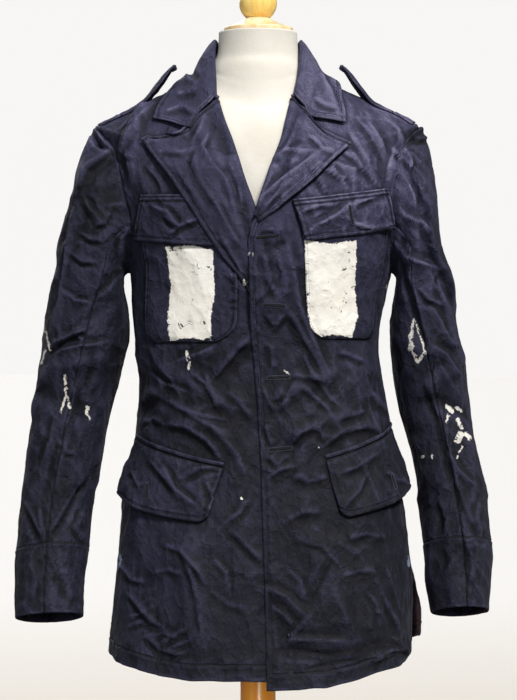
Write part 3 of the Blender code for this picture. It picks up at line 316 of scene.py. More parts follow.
# Dress form sections above the shoulders, after the trunk loft drawn in by the clearances below.
FORM_NECK = (             # z, half width, half depth, middle y
    (1.0120, 0.0600, 0.0560, 0.0010), (1.0220, 0.0545, 0.0520, 0.0010),
    (1.0340, 0.0515, 0.0500, 0.0005), (1.0460, 0.0505, 0.0490, 0.0000),
    (NECK_TOP, 0.0502, 0.0488, 0.0000),
)
FORM_CLEARANCE = (        # trunk station, gap under the cloth
    (2.2, 0.045), (4.0, 0.032), (6.0, 0.026), (8.0, 0.022), (10.0, 0.018), (12.0, 0.016),
    (14.0, 0.016), (15.0, 0.015), (16.0, 0.013), (17.0, 0.0060), (17.7, 0.0016), (18.4, 0.0009),
    (19.2, 0.0009), (20.0, 0.0009), (21.0, 0.0009), (21.9, 0.0012),
)

# The scene's own sizes: stitch lines and seams that the solids don't have.
HEM_STITCH = 0.020        # stitch lines above the hem and the cuffs
CUFF_SEAM = 0.088
SLEEVE_TUCK = 2.4         # degrees the under sleeve runs on beneath the top sleeve
TUCKS = ((1.05, -0.0028), (1.012, -0.0022))     # the sleeve head's allowance: spread and depth
FLAP_ROUND = 0.0150       # radius of the hip flaps' inner lower corners
FLAP_ROUND_RISE = 0.62    # how far that corner rises, as a share of the radius
NECK_SEAM_Z = 0.9890      # the seam of the form's neck cover, lowest in front
NECK_SEAM_RISE = 0.010
LEFT_LAPEL_TOP = ((139, 143, 151, 168, 180, 190), (-3.2, -2.0, 3.2, 3.0, 1.0, 0.0))
SIDE_SEAM_HALF = 0.0006   # half the gap at the side seams, in radians round the trunk
FACING_DEPTH = 0.035      # creases of the front and the back meet over this depth at the sides

# Cloth in the scene is thinner than the solids' walls, which also stand for seam allowances.
SHELL = 0.0014
SHELL_TWO_PLY = 0.0022

# Spacing of the shells' points, and the distances from an edge at which they lie closer together.
FRONT_SPACING, BACK_SPACING, BACK_SPACING_ACROSS = 0.0020, 0.0032, 0.0034
TOP_SLEEVE_SPACING, UNDER_SLEEVE_SPACING = 0.0019, 0.0030
POCKET_SPACING = 0.0016
FRONT_WIDTH, BACK_WIDTH = 0.215, 0.470          # mean widths, on which the spacing is based
TOP_SLEEVE_WIDTH, UNDER_SLEEVE_WIDTH = 0.235, 0.125
HEM_MARK, EDGE_MARK = 0.0005, 0.001

# Sewing: depth and reach of each dip, and the ridge that stands beside a row of stitches.
EDGE_DROP, EDGE_ROUND = 0.0009, 0.0012
SEAM_DIP, SEAM_REACH = 0.0011, 0.0018
STITCH_DIP, STITCH_REACH = 0.00085, 0.0011
RIDGE_HEIGHT, RIDGE_BESIDE, RIDGE_REACH = 0.00055, 0.0026, 0.0020
PUCKER_REACH = 0.0060
STITCH_LENGTH, STITCH_PITCH, STITCH_RADIUS = 0.0024, 0.0033, 0.00030
STITCH_LIFT = 0.00012
HOLE_STITCH, HOLE_PITCH = 0.0019, 0.0010        # a buttonhole's stitches: length and spacing
HOLE_SIDE, HOLE_LIFT, HOLE_RADIUS = 0.0021, 0.00035, 0.00050
SLIT_LIFT, SLIT_RADIUS, SLIT_PIECES = 0.00060, 0.00125, 6

FRONT_STITCH, COLLAR_STITCH, LAPEL_STITCH = 0.0058, 0.0058, 0.0055     # inset from each edge
POCKET_STITCH, FLAP_STITCH, HIP_FLAP_STITCH = 0.0045, 0.0052, 0.0055
FLAP_FOOT_STITCHES = (0.0030, 0.0085)
STRAP_STITCH, STRAP_FOOT_STITCH = 0.0045, 0.030
# Rows that turn an edge in: distance back from the edge, and depth as a share of the thickness.
TURN_ROWS = ((0.0060, 1.0), (0.0, 1.0), (-0.00035, 0.5))
SHORTEST_TURN = 0.02      # a piece narrower than this keeps plain edges

# Creases and crumple.
CREASE_GAIN = 0.0030      # metres of height for each unit in the lists of creases
STEEP_WIDTH, GENTLER_BY, EVEN_WIDTH = 0.62, 0.85, 0.8     # of a crease's sides, in half widths
CREST_POWER = 1.25        # the lower, the sharper the crest
DIP_SHARE, DIP_PLACE, DIP_REACH = 0.38, 1.7, 1.1          # the dip beside it
END_TAPER, END_LEFT = 0.22, 0.15    # share of the length that dies away, and what is left there
DEEPEST = 0.0022          # no trough goes deeper into the cloth's plain form
LATTICE = 32              # cells after which the noise repeats
BROAD_HEIGHT, BROAD_SIZE = 0.0022, 0.070
CRUMPLE_SLANT = 0.62      # wrinkles are longer up and down than across
CRUSH_MEAN = 0.0014
# Crushed cloth, coarse to fine: cell size, height, seed, the pattern's stretch and offset, then how
# strong it is everywhere and how much stronger on the crushed patches.
CRUSH_ROWS = (
    (0.050, 0.0046, 3, 1.0, 0.0, 0.4, 0.6),
    (0.022, 0.0021, 4, 1.0, 5.0, 0.0, 1.0),
    (0.012, 0.0010, 5, 1.1, 9.0, 1.0, -0.6),
)
# Crests that rub pale, partly wear and partly painted highlight, and hollows darkened with painted
# shade: reach, height that counts as full, and weight.
CREST_SCALES = ((0.0042, 0.0006, 0.75), (0.012, 0.0028, 0.55))
# Tone of a crease, in pixels: the pale rub on its crest, partly wear and partly painted highlight,
# and the painted shade below it.
CREST_TONE_GAIN, CREST_TONE_REACH, CREST_TONE_FULL = 0.50, 1.5, 2.0
SHADE_SHARE, SHADE_PLACE, SHADE_WIDTH, SHADE_REACH = 0.70, 2.7, 1.6, 5.0
# Painted shade in seams, along stitches and beside what lies on top, and wear with a painted
# highlight on turned edges.
SEAM_SHADE, STITCH_SHADE, STITCH_SHADE_REACH = 0.8, 0.55, 0.0012
SEAM_SHADE_REACH, EDGE_RIM_REACH = 0.0015, 0.0024
CONTACT_SHADE, CONTACT_REACH, CONTACT_FAR = 1.1, 1.5, 30.0
DARKEST = -1.4

# The cloth's colours from dark to pale, along which fading and painted light both move it.
DEEP_NAVY = (0.0084, 0.0088, 0.0136)
MID_NAVY = (0.052, 0.052, 0.104)
PALE_NAVY = (0.194, 0.175, 0.270)
# Painted shade, mixed into the cloth's hollows.
HOLLOW_SHADE_NAVY = (0.004, 0.004, 0.0065)
NAVY_THREAD = (0.022, 0.022, 0.038)
BUTTONHOLE_THREAD = (0.050, 0.050, 0.084)
# Painted shade, for the dark of the buttonholes' slits.
SLIT_SHADE = (0.004, 0.004, 0.006)
DRIFT = 0.05              # how far noise bends the stains, in hundreds of pixels

# Cloth that is paler or darker than the rest, as seen, partly worn and faded and partly painted
# light and shade, paler towards the top: first by height (v, fading), then spots with u, v, half
# width, half height and change.
FADE_AND_LIGHT_BASE = (
    (60, 0.66), (160, 0.60), (260, 0.42), (360, 0.19), (450, 0.09), (560, 0.03), (700, 0.02),
)
FADED_AND_LIT = (
    (360, 130, 70, 50, 0.20), (95, 190, 40, 110, -0.32), (40, 420, 60, 160, 0.02),
    (160, 570, 60, 90, 0.14), (190, 180, 40, 60, -0.20), (425, 215, 30, 60, 0.18),
    (345, 215, 50, 30, 0.22), (250, 400, 60, 60, -0.06), (355, 540, 60, 90, -0.08),
    (190, 85, 22, 36, -0.14), (320, 85, 24, 40, 0.16), (175, 480, 60, 40, 0.12),
    (300, 165, 34, 40, 0.06), (348, 76, 9, 12, -0.50), (364, 95, 13, 11, -0.50),
    (122, 350, 10, 70, -0.30), (172, 76, 9, 10, -0.40), (154, 92, 14, 9, -0.30),
    (421, 602, 5, 60, 2.0), (150, 590, 60, 80, 0.10), (92, 175, 30, 70, -0.10),
    (420, 175, 26, 60, 0.10),
)
# Painted light and shade on flat facets between large folds: darker where they turn from the light,
# paler where they face it.
LIT_AND_SHADED_FACETS = (
    (((405, 142), (411, 157), (417, 182), (425, 202), (431, 235), (436, 257), (445, 275),
      (452, 292), (462, 300), (460, 275), (455, 235), (449, 205), (447, 165), (440, 140),
      (420, 122), (408, 130)), -0.42),
    (((74, 196), (70, 222), (64, 250), (57, 282), (51, 317), (47, 335), (30, 335), (38, 300),
      (48, 255), (56, 215), (66, 190)), -0.35),
    (((92, 125), (110, 142), (115, 147), (96, 159), (81, 176), (76, 185), (72, 170), (80, 130)),
     0.30),
    (((117, 149), (97, 160), (85, 176), (77, 192), (92, 222), (118, 210), (118, 175), (112, 155)),
     -0.14),
    (((404, 128), (416, 126), (428, 130), (434, 142), (420, 150), (408, 140)), -0.35),
)
# Blocks of worn white paint on the chest pockets, as seen.
PAINT_BLOCKS = (
    ((166, 247), (190, 245), (213, 250), (215, 292), (211, 320), (212, 340), (190, 338),
     (170, 341), (167, 320), (171, 288)),
    ((305, 240), (330, 244), (357, 240), (355, 290), (358, 318), (352, 338), (332, 335),
     (312, 340), (309, 318), (304, 280)),
)

# Creases as the camera sees them: a polyline of u, v pixels, then the half width in pixels, the
# height in millimetres (negative for a trough) and the side that dips beside it: 1 or -1, or 0
# where both sides are the same.
TORSO_CREASES = (
    (((162, 99), (142, 111), (125, 134), (119, 160)), 6.0, 3.2, 1),
    (((150, 108), (134, 118), (112, 132)), 3.0, 1.2, -1),
    (((128, 148), (134, 170), (135, 190)), 5.0, 2.2, 1),
    (((350, 150), (362, 168), (378, 185)), 2.6, 1.0, 1),
    (((330, 165), (346, 184)), 2.4, 0.9, -1),
    (((316, 176), (325, 190)), 2.4, 1.2, 1),
    (((395, 146), (389, 166), (386, 186)), 5.0, 2.0, 1),
    (((366, 118), (380, 140), (388, 160)), 4.0, 1.0, -1),
    (((330, 140), (352, 158), (372, 176)), 2.4, 0.7, 1),
    (((258, 230), (270, 229), (286, 233)), 3.0, 1.4, 1),
    (((262, 243), (276, 245), (288, 240)), 3.0, -1.4, -1),
    (((262, 250), (268, 275), (278, 300)), 3.6, 1.5, 1),
    (((286, 240), (294, 272), (300, 306), (316, 346), (329, 375)), 4.0, 2.1, -1),
    (((276, 252), (283, 276), (284, 298)), 3.0, 1.2, 1),
    (((266, 313), (275, 327)), 2.4, 1.1, 1),
    (((284, 313), (275, 327)), 2.4, 1.1, -1),
    (((286, 308), (300, 331), (316, 358), (324, 378)), 3.6, 1.8, 1),
    (((270, 343), (274, 369)), 2.6, 1.0, 1),
    (((264, 386), (269, 402), (276, 411)), 2.6, 1.5, -1),
    (((276, 411), (286, 400), (292, 385)), 2.6, 1.4, -1),
    (((290, 375), (310, 378), (327, 384)), 3.0, 1.2, 1),
    (((300, 386), (318, 400), (331, 414)), 2.6, 0.9, 1),
    (((336, 352), (352, 356), (366, 362)), 2.6, 0.8, 1),
    (((300, 345), (312, 372), (330, 398), (345, 410)), 5.0, 1.2, 1),
    (((289, 447), (299, 434), (314, 427)), 3.4, 2.5, 1),
    (((314, 427), (321, 433), (324, 441)), 2.8, 1.2, 1),
    (((264, 424), (268, 436), (272, 446)), 2.6, 1.2, 1),
    (((268, 456), (277, 466)), 2.4, 1.1, 1),
    (((288, 455), (277, 466)), 2.4, 1.1, -1),
    (((322, 447), (342, 432), (366, 427), (382, 432)), 4.6, 2.4, 1),
    (((334, 420), (352, 415), (368, 410)), 3.4, 1.1, 1),
    (((372, 390), (380, 404), (392, 414)), 3.2, 1.3, 1),
    (((268, 478), (280, 470), (296, 466)), 4.0, 1.4, 1),
    (((250, 338), (236, 351), (222, 368), (212, 380)), 4.6, 2.2, -1),
    (((250, 352), (240, 362), (230, 378)), 3.6, -1.8, 1),
    (((216, 346), (198, 354), (176, 361)), 3.4, 1.4, 1),
    (((204, 370), (212, 390), (218, 410)), 3.0, 1.1, 1),
    (((150, 345), (158, 362), (172, 380), (178, 392)), 4.0, 1.2, 1),
    (((164, 424), (186, 427), (206, 440), (222, 460)), 5.6, 2.8, 1),
    (((168, 440), (190, 449), (214, 461)), 3.6, -1.5, 1),
    (((180, 408), (204, 416), (230, 421)), 3.0, 1.0, 1),
    (((160, 396), (185, 410), (214, 428), (232, 450)), 5.6, 1.7, 1),
    (((140, 402), (149, 393), (161, 396)), 4.0, 2.2, 1),
    (((141, 424), (152, 418), (164, 424)), 3.0, 1.2, 1),
    (((225, 390), (240, 402), (252, 420)), 3.6, 1.0, 1),
    (((226, 440), (238, 455), (246, 476)), 3.6, 1.4, -1),
    (((228, 521), (240, 513), (247, 499)), 2.8, 1.3, 1),
    (((230, 530), (244, 544), (262, 562)), 2.8, 1.7, 1),
    (((163, 545), (181, 551), (196, 568), (207, 586)), 3.0, 1.5, 1),
    (((182, 553), (193, 580), (199, 612), (203, 642)), 2.6, 1.5, 1),
    (((118, 563), (130, 580), (143, 583)), 2.6, 1.4, 1),
    (((124, 590), (139, 609), (150, 623), (166, 633)), 3.2, 1.9, 1),
    (((127, 619), (145, 612)), 2.4, 1.0, 1),
    (((124, 629), (140, 623), (150, 628)), 2.4, 0.9, 1),
    (((146, 638), (158, 653), (176, 659), (186, 655)), 2.8, 1.5, 1),
    (((158, 647), (186, 632)), 2.6, 1.2, 1),
    (((165, 655), (192, 643)), 2.4, 1.0, 1),
    (((150, 572), (168, 570), (186, 577)), 3.0, 0.9, 1),
    (((210, 590), (228, 606), (250, 612)), 4.0, 0.9, 1),
    (((268, 588), (285, 596), (300, 611), (309, 618)), 3.6, 2.6, -1),
    (((270, 604), (284, 614), (296, 628)), 3.0, 1.2, -1),
    (((306, 618), (296, 630), (286, 646)), 2.8, 1.4, 1),
    (((331, 558), (320, 581), (305, 614)), 2.6, -1.1, 1),
    (((334, 590), (345, 614), (353, 641)), 4.0, 1.3, -1),
    (((276, 650), (300, 651), (330, 655), (362, 649), (397, 639)), 3.0, -2.2, 1),
    (((282, 640), (312, 640), (345, 641)), 3.4, 1.3, -1),
    (((306, 669), (335, 663), (372, 656)), 2.6, -1.8, 1),
    (((372, 665), (392, 652), (410, 650)), 2.8, 1.3, 1),
    (((384, 601), (395, 620), (401, 641)), 3.0, 1.2, 1),
    (((392, 636), (402, 648), (412, 656)), 2.6, 1.4, 1),
    (((340, 576), (358, 571), (378, 572)), 4.6, 1.0, 1),
    (((284, 521), (302, 513), (324, 511)), 5.0, 1.2, 1),
    (((292, 474), (308, 482), (330, 476)), 4.4, 1.2, 1),
    (((346, 540), (366, 534), (388, 538)), 4.4, 1.1, 1),
    (((392, 150), (401, 160), (404, 173)), 2.0, 1.6, 1),
    (((384, 168), (397, 176), (405, 190)), 2.2, 1.3, 1),
    (((398, 127), (403, 139), (404, 152)), 2.2, 2.0, -1),
    (((394, 196), (403, 206)), 2.0, 1.3, 1),
    (((112, 158), (122, 168), (128, 182)), 2.2, 1.3, -1),
    (((120, 150), (129, 158), (140, 160)), 2.0, 1.1, 1),
    (((316, 165), (338, 176), (362, 180)), 2.2, 0.9, 1),
    (((322, 158), (350, 168), (380, 168)), 2.0, 0.8, -1),
    (((345, 128), (360, 150), (372, 176)), 2.2, 0.8, 1),
    (((358, 118), (374, 140), (386, 164)), 2.4, 0.9, 1),
    (((146, 165), (158, 180), (164, 194)), 2.2, 0.9, 1),
    (((150, 372), (166, 384), (190, 392)), 2.2, 0.9, -1),
    (((192, 372), (206, 384), (214, 402)), 2.2, 0.9, 1),
    (((300, 540), (322, 548), (340, 566)), 2.4, 0.8, 1),
    (((286, 566), (300, 580), (306, 600)), 2.4, 0.8, -1),
    (((366, 590), (376, 606), (380, 630)), 2.4, 0.9, 1),
    (((140, 640), (162, 636), (182, 644)), 2.2, 0.9, 1),
    (((214, 556), (226, 572), (230, 596)), 2.4, 0.9, -1),
)
# The same on the back, u as the front camera would see it through the cloth.
BACK_CREASES = (
    (((178, 150), (190, 190), (196, 240)), 6.0, 2.2, 1),
    (((330, 148), (322, 186), (318, 232)), 6.0, 2.0, -1),
    (((150, 205), (166, 228), (190, 246)), 3.6, 1.5, 1),
    (((366, 214), (348, 236), (330, 250)), 3.6, 1.6, -1),
    (((214, 120), (232, 128), (256, 130), (284, 124)), 4.0, 1.5, 1),
    (((146, 300), (170, 322), (204, 336)), 3.4, 1.4, 1),
    (((372, 312), (346, 330), (316, 340)), 3.4, 1.5, 1),
    (((150, 372), (186, 392), (226, 396), (262, 388)), 4.4, 2.2, 1),
    (((368, 380), (334, 402), (296, 408)), 4.2, 2.0, -1),
    (((170, 424), (206, 438), (240, 436)), 3.4, 1.6, 1),
    (((354, 430), (322, 444), (288, 446)), 3.4, 1.4, 1),
    (((196, 470), (188, 520), (184, 580)), 5.0, 2.0, 1),
    (((318, 476), (330, 530), (334, 590)), 5.0, 2.0, -1),
    (((250, 470), (258, 540), (256, 620)), 6.0, -2.0, 1),
    (((140, 560), (160, 590), (172, 630)), 3.0, 1.4, 1),
    (((380, 570), (362, 600), (352, 640)), 3.0, 1.4, -1),
    (((210, 600), (236, 618), (270, 620)), 3.2, 1.3, 1),
    (((286, 560), (300, 590), (300, 630)), 3.0, 1.2, 1),
)
LEFT_SLEEVE_CREASES = (
    (((96, 130), (104, 144), (112, 148)), 2.0, 1.8, 1),
    (((88, 132), (94, 146), (104, 152)), 2.0, 1.5, -1),
    (((80, 232), (92, 240), (104, 240)), 2.2, 1.1, 1),
    (((64, 290), (76, 300), (90, 302)), 2.2, 1.0, -1),
    (((72, 252), (84, 262), (96, 262)), 2.2, 0.9, 1),
    (((58, 440), (66, 452), (80, 456)), 2.2, 1.1, 1),
    (((92, 127), (101, 139), (107, 151)), 3.0, 1.8, 1),
    (((103, 130), (110, 141), (117, 150)), 2.6, -1.5, 1),
    (((114, 147), (100, 158), (87, 169), (78, 192)), 4.0, 3.2, -1),
    (((116, 150), (123, 172), (127, 196)), 2.8, 1.8, -1),
    (((79, 200), (86, 213), (95, 227)), 2.4, -0.4, 0),
    (((84, 196), (92, 210), (101, 222)), 2.4, 1.3, -1),
    (((95, 227), (104, 222), (111, 211)), 2.6, 1.5, 1),
    (((75, 203), (69, 250), (61, 300), (53, 332)), 3.4, 2.2, 1),
    (((70, 236), (62, 262), (57, 286)), 2.6, 1.2, -1),
    (((128, 203), (112, 204), (104, 206)), 2.6, 1.1, 1),
    (((131, 224), (122, 238), (118, 258)), 3.0, 1.6, 1),
    (((122, 270), (110, 286), (96, 300)), 2.8, 1.4, 1),
    (((104, 262), (96, 290), (84, 322)), 3.4, 1.2, -1),
    (((52, 347), (64, 339), (76, 333), (86, 329)), 2.8, 2.3, 1),
    (((56, 353), (74, 347), (88, 345), (106, 341)), 2.8, 1.8, -1),
    (((76, 333), (81, 340), (80, 347)), 2.4, 1.2, 1),
    (((45, 369), (38, 392), (34, 424)), 3.0, 1.7, 1),
    (((98, 348), (96, 370), (88, 392)), 3.2, 1.2, 1),
    (((74, 378), (73, 400), (64, 432)), 3.4, 1.2, -1),
    (((55, 418), (52, 440), (40, 470)), 3.0, 1.2, 1),
    (((88, 477), (76, 499), (63, 521), (50, 541)), 2.6, -2.4, 1),
    (((84, 474), (71, 497), (58, 519), (48, 534)), 2.4, 1.8, 0),
    (((68, 430), (60, 462), (54, 498)), 4.0, 1.3, 1),
    (((84, 508), (76, 528), (84, 541)), 2.6, 1.2, 1),
    (((24, 500), (34, 520), (44, 541)), 3.0, 1.3, 1),
    (((40, 505), (42, 525), (46, 543)), 2.4, 1.0, -1),
    (((60, 568), (68, 584), (70, 602)), 4.6, 1.2, 1),
    (((30, 558), (36, 580), (34, 602)), 4.6, 1.2, -1),
)
RIGHT_SLEEVE_CREASES = (
    (((409, 134), (420, 139), (431, 138)), 2.0, 1.9, 1),
    (((408, 150), (416, 156), (421, 168)), 2.0, 2.1, -1),
    (((412, 166), (419, 176), (425, 190)), 2.0, 1.8, 1),
    (((408, 182), (414, 196), (416, 210)), 2.0, 1.5, -1),
    (((414, 210), (424, 224), (428, 244)), 2.2, 1.2, 1),
    (((418, 286), (428, 300), (444, 306)), 2.2, 1.2, 1),
    (((430, 306), (440, 322), (446, 344)), 2.2, 1.2, -1),
    (((404, 142), (413, 134), (428, 127)), 2.8, 1.4, 1),
    (((404, 146), (411, 160), (409, 176)), 3.0, 1.9, -1),
    (((419, 186), (426, 204), (431, 246), (439, 266), (457, 308)), 3.8, 3.2, 1),
    (((407, 160), (415, 178), (424, 196)), 3.0, 1.7, 1),
    (((396, 204), (406, 215), (421, 222), (431, 236)), 3.2, 1.9, -1),
    (((393, 236), (408, 256), (426, 265), (440, 269)), 3.8, 2.2, -1),
    (((406, 262), (415, 290), (424, 328), (431, 352)), 3.2, 1.8, 1),
    (((400, 258), (404, 286), (406, 306)), 2.8, 1.2, -1),
    (((438, 150), (434, 176), (438, 208)), 3.6, 1.5, 1),
    (((433, 262), (440, 291), (449, 322)), 3.0, 1.3, 1),
    (((430, 344), (445, 355), (459, 377)), 3.4, 1.9, -1),
    (((441, 330), (455, 350)), 2.8, 1.3, 1),
    (((395, 330), (404, 352), (408, 378)), 3.6, 1.3, 1),
    (((426, 380), (434, 402), (441, 424)), 3.0, 1.2, 1),
    (((437, 400), (446, 440), (456, 482), (470, 520), (477, 536)), 3.2, 1.5, 1),
    (((412, 430), (420, 452), (424, 480)), 3.4, 1.2, 1),
    (((448, 452), (458, 470), (474, 486)), 2.8, 1.2, -1),
    (((440, 500), (446, 520), (444, 537)), 2.8, 1.4, 1),
    (((478, 500), (474, 520), (478, 537)), 2.8, 1.2, 1),
    (((446, 546), (452, 560), (448, 574)), 3.0, 1.2, 1),
    (((464, 538), (471, 562), (469, 586)), 4.6, 1.4, 1),
    (((430, 548), (424, 568), (428, 590)), 4.0, 1.2, 1),
)
LAPEL_CREASES = (
    (((205, 112), (200, 128), (193, 141)), 3.0, 0.8, 1),
    (((208, 133), (203, 147), (212, 163), (227, 180)), 2.6, 1.3, -1),
    (((196, 150), (193, 165), (200, 181), (216, 206)), 2.6, 1.0, 1),
    (((228, 160), (238, 185), (243, 207)), 2.8, 1.0, 1),
    (((174, 165), (190, 190), (206, 213)), 2.4, 0.9, 1),
    (((214, 200), (228, 226), (241, 247)), 2.6, 1.0, -1),
    (((220, 236), (236, 262), (243, 278)), 2.6, 0.9, 1),
    (((158, 150), (182, 152), (200, 146)), 2.6, 0.8, 1),
    (((222, 176), (231, 196), (236, 216)), 2.4, 0.8, 1),
    (((300, 115), (290, 140), (276, 166)), 3.0, 0.8, 1),
    (((268, 162), (285, 150), (306, 151)), 2.6, 1.1, 1),
    (((262, 196), (280, 180), (300, 166), (319, 151)), 2.8, 1.1, -1),
    (((262, 211), (276, 195), (290, 178)), 2.6, 0.9, 1),
    (((309, 135), (323, 149), (336, 153)), 2.6, 0.8, 1),
)
COLLAR_CREASES = (
    (((185, 75), (194, 82), (204, 82)), 2.8, 1.9, -1),
    (((205, 58), (212, 74), (211, 94)), 3.0, 1.1, 1),
    (((174, 95), (190, 92), (206, 85)), 3.0, 1.1, 1),
    (((164, 112), (180, 107), (196, 112)), 3.0, 0.8, 1),
    (((301, 74), (305, 95), (316, 112)), 3.0, 1.1, 1),
    (((320, 70), (330, 90), (336, 107)), 3.0, 0.9, -1),
    (((305, 60), (300, 80)), 2.6, 0.9, 1),
    (((312, 96), (324, 104), (338, 108)), 2.6, 0.8, 1),
)
FLAP_CREASES = (
    (((163, 214), (179, 227), (197, 219)), 2.6, 1.2, 1),
    (((168, 236), (179, 227)), 2.4, 1.0, 1),
    (((150, 204), (168, 212), (179, 227)), 2.4, 0.9, -1),
    (((350, 204), (336, 215), (314, 226)), 2.8, 1.5, 1),
    (((353, 223), (370, 229), (392, 226)), 2.6, 1.0, 1),
    (((352, 206), (372, 197), (386, 192)), 2.6, 0.8, 1),
    (((300, 212), (318, 206), (336, 204)), 2.6, 0.8, 1),
    (((149, 459), (164, 476), (180, 496)), 3.0, 1.3, 1),
    (((164, 465), (176, 490), (197, 506)), 2.8, 1.2, -1),
    (((184, 478), (200, 468), (222, 465)), 2.8, 1.5, 1),
    (((206, 480), (213, 499), (208, 515)), 2.4, 1.0, 1),
    (((132, 470), (140, 488)), 2.6, 0.8, 1),
    (((338, 474), (356, 468), (380, 452)), 3.4, 1.1, 1),
    (((345, 506), (360, 490), (366, 474)), 2.8, 0.9, 1),
    (((386, 470), (396, 480), (408, 482)), 2.6, 0.9, 1),
)
# Cloth under the lapels and the collar stays smooth, so that nothing pokes through them.
COVERED = (
    ((216, 92), (140, 118), (138, 146), (170, 182), (215, 250), (246, 290), (258, 250), (238, 160)),
    ((294, 92), (350, 110), (354, 148), (318, 178), (252, 232), (252, 212), (284, 130)),
    ((172, 60), (140, 128), (190, 140), (220, 96)),
    ((296, 90), (310, 130), (352, 134), (346, 76)),
)

# Worked buttonholes: the piece, and the pixels between which each slit runs.
BUTTONHOLES = (
    ("front_right_cloth", (257, 238), (278, 236)),
    ("front_right_cloth", (264, 305), (284, 306)),
    ("front_right_cloth", (268, 378), (289, 377)),
    ("front_right_cloth", (270, 450), (291, 448)),
    ("chest_flap_right_cloth", (349.5, 207), (352.5, 223)),
    ("hip_flap_left_cloth", (147, 484), (147.5, 498)),
    ("hip_flap_right_cloth", (392, 475), (396, 488)),
)


def cubic(f, start, end, start_slope, end_slope):
    """The smooth curve between two values with the given slopes, at share f of the way."""
    return ((2 * f ** 3 - 3 * f ** 2 + 1) * start + (f ** 3 - 2 * f ** 2 + f) * start_slope
            + (3 * f ** 2 - 2 * f ** 3) * end + (f ** 3 - f ** 2) * end_slope)


class Sections:
    """Rows of sizes with named columns, read between the rows along a smooth curve."""

    def __init__(self, names, rows):
        self.names = names
        self.values = np.array(rows, dtype=float)
        self.slopes = np.gradient(self.values, axis=0)

    def at(self, station):
        station = np.clip(np.asarray(station, dtype=float), 0, len(self.values) - 1)
        low = np.minimum(station.astype(int), len(self.values) - 2)
        values = cubic((station - low)[..., None], self.values[low], self.values[low + 1],
                       self.slopes[low], self.slopes[low + 1])
        return {name: values[..., i] for i, name in enumerate(self.names)}


def smooth(value):
    """From 0 to 1 along a smooth curve, level past both."""
    value = np.clip(value, 0, 1)
    return value * value * (3 - 2 * value)


def rise(value, start, end):
    """0 at the start, 1 at the end and smooth between them."""
    return smooth((value - start) / (end - start))


def bell(distance, reach):
    """1 at distance 0, dying away over the reach."""
    return np.exp(-(distance / reach) ** 2)


def ridge(from_a, from_b, run_a, run_b, reach):
    """1 along a line, dying away over the reach, at a place given from the line's start."""
    along = np.clip((from_a * run_a + from_b * run_b) / (run_a ** 2 + run_b ** 2), 0, 1)
    off2 = (from_a - along * run_a) ** 2 + (from_b - along * run_b) ** 2
    return np.exp(-off2 / reach ** 2)


def run_along(line):
    """How far each point of a line lies from its start, along it."""
    return np.concatenate([[0], np.cumsum(np.linalg.norm(np.diff(line, axis=0), axis=1))])


def signed_power(value, power):
    return np.sign(value) * np.abs(value) ** power


TRUNK = Sections(TRUNK_COLUMNS, TRUNK_ROWS)


def plain_trunk(station, angle):
    """The trunk's outer surface before its folds."""
    row = TRUNK.at(station)
    c, s = np.cos(angle), np.sin(angle)
    power = 2 / row["squareness"]
    depth = np.where(s < 0, row["front_depth"], row["back_depth"])
    drop = np.where(s < 0, row["front_drop"], row["back_drop"])
    x = row["shift"] + row["half_width"] * signed_power(c, power)
    y = depth * signed_power(s, power)
    return np.stack([x, y, row["side_z"] - drop * s * s], axis=-1)


def unit(vector):
    return vector / np.linalg.norm(vector, axis=-1, keepdims=True)


def trunk_normal(station, angle):
    """The outward direction, square to the plain surface."""
    step_a, step_s = 0.01, 0.05
    around = plain_trunk(station, angle + step_a) - plain_trunk(station, angle - step_a)
    up = (plain_trunk(np.minimum(station + step_s, NECK), angle)
          - plain_trunk(np.maximum(station - step_s, 0), angle))
    return unit(np.cross(around, up))


def fold_height(points):
    """How far the largest folds push the cloth out, or in where it is negative."""
    x, y, z = points[..., 0], points[..., 1], points[..., 2]
    total = np.zeros_like(x)
    for on_back, x_a, z_a, x_b, z_b, reach, height in FOLD_ROWS:
        side = smooth((y if on_back else -y) / FOLD_SIDE_DEPTH)
        total += height * side * ridge(x - x_a, z - z_a, x_b - x_a, z_b - z_a, reach)
    return total


def overlap_lift(points):
    """How far the top front rides over what lies beneath its edge."""
    x, z = points[..., 0], points[..., 2]
    over_front = 1 - rise(x, *UNDERLAP_REACH)
    over_lapel = (1 - rise(x, *LAPEL_REACH)) * rise(z, *LAPEL_FOOT)
    closed = 1 - rise(z, *OVERLAP_END)
    return closed * (OVERLAP_LIFT * over_front + (LAPEL_LIFT - OVERLAP_LIFT) * over_lapel)


def trunk(station, angle, out=0.0, top_front=False):
    """A point of the trunk with its folds, moved out by out metres."""
    station, angle = np.broadcast_arrays(station, angle)
    plain = plain_trunk(station, angle)
    push = fold_height(plain) + relief(plain) + out
    if top_front:
        push = push + overlap_lift(plain)
    return plain + trunk_normal(station, angle) * push[..., None]


def front_angle(x, station):
    """The angle at which a section of the front has the given x."""
    row = TRUNK.at(station)
    q = np.clip((x - row["shift"]) / row["half_width"], -1, 1)
    return -np.arccos(np.clip(signed_power(q, row["squareness"] / 2), -1, 1))


def station_for(height, angle_of):
    """The station at which the trunk reaches a height, where angle_of gives the angle there."""
    low = np.zeros_like(height)
    high = np.full_like(height, NECK)
    for _ in range(34):
        middle = (low + high) / 2
        below = plain_trunk(middle, angle_of(middle))[..., 2] < height
        low = np.where(below, middle, low)
        high = np.where(below, high, middle)
    return (low + high) / 2


def on_front(x, z, out=0.0, top_front=False):
    """The point of the front that the front view shows at x, z."""
    x, z = np.broadcast_arrays(np.asarray(x, dtype=float), np.asarray(z, dtype=float))
    station = station_for(z, lambda s: front_angle(x, s))
    return trunk(station, front_angle(x, station), out, top_front)


def at_height(angle, z, out=0.0, top_front=False):
    """The point of the trunk at an angle and a height."""
    angle, z = np.broadcast_arrays(np.asarray(angle, dtype=float), np.asarray(z, dtype=float))
    return trunk(station_for(z, lambda s: angle), angle, out, top_front)


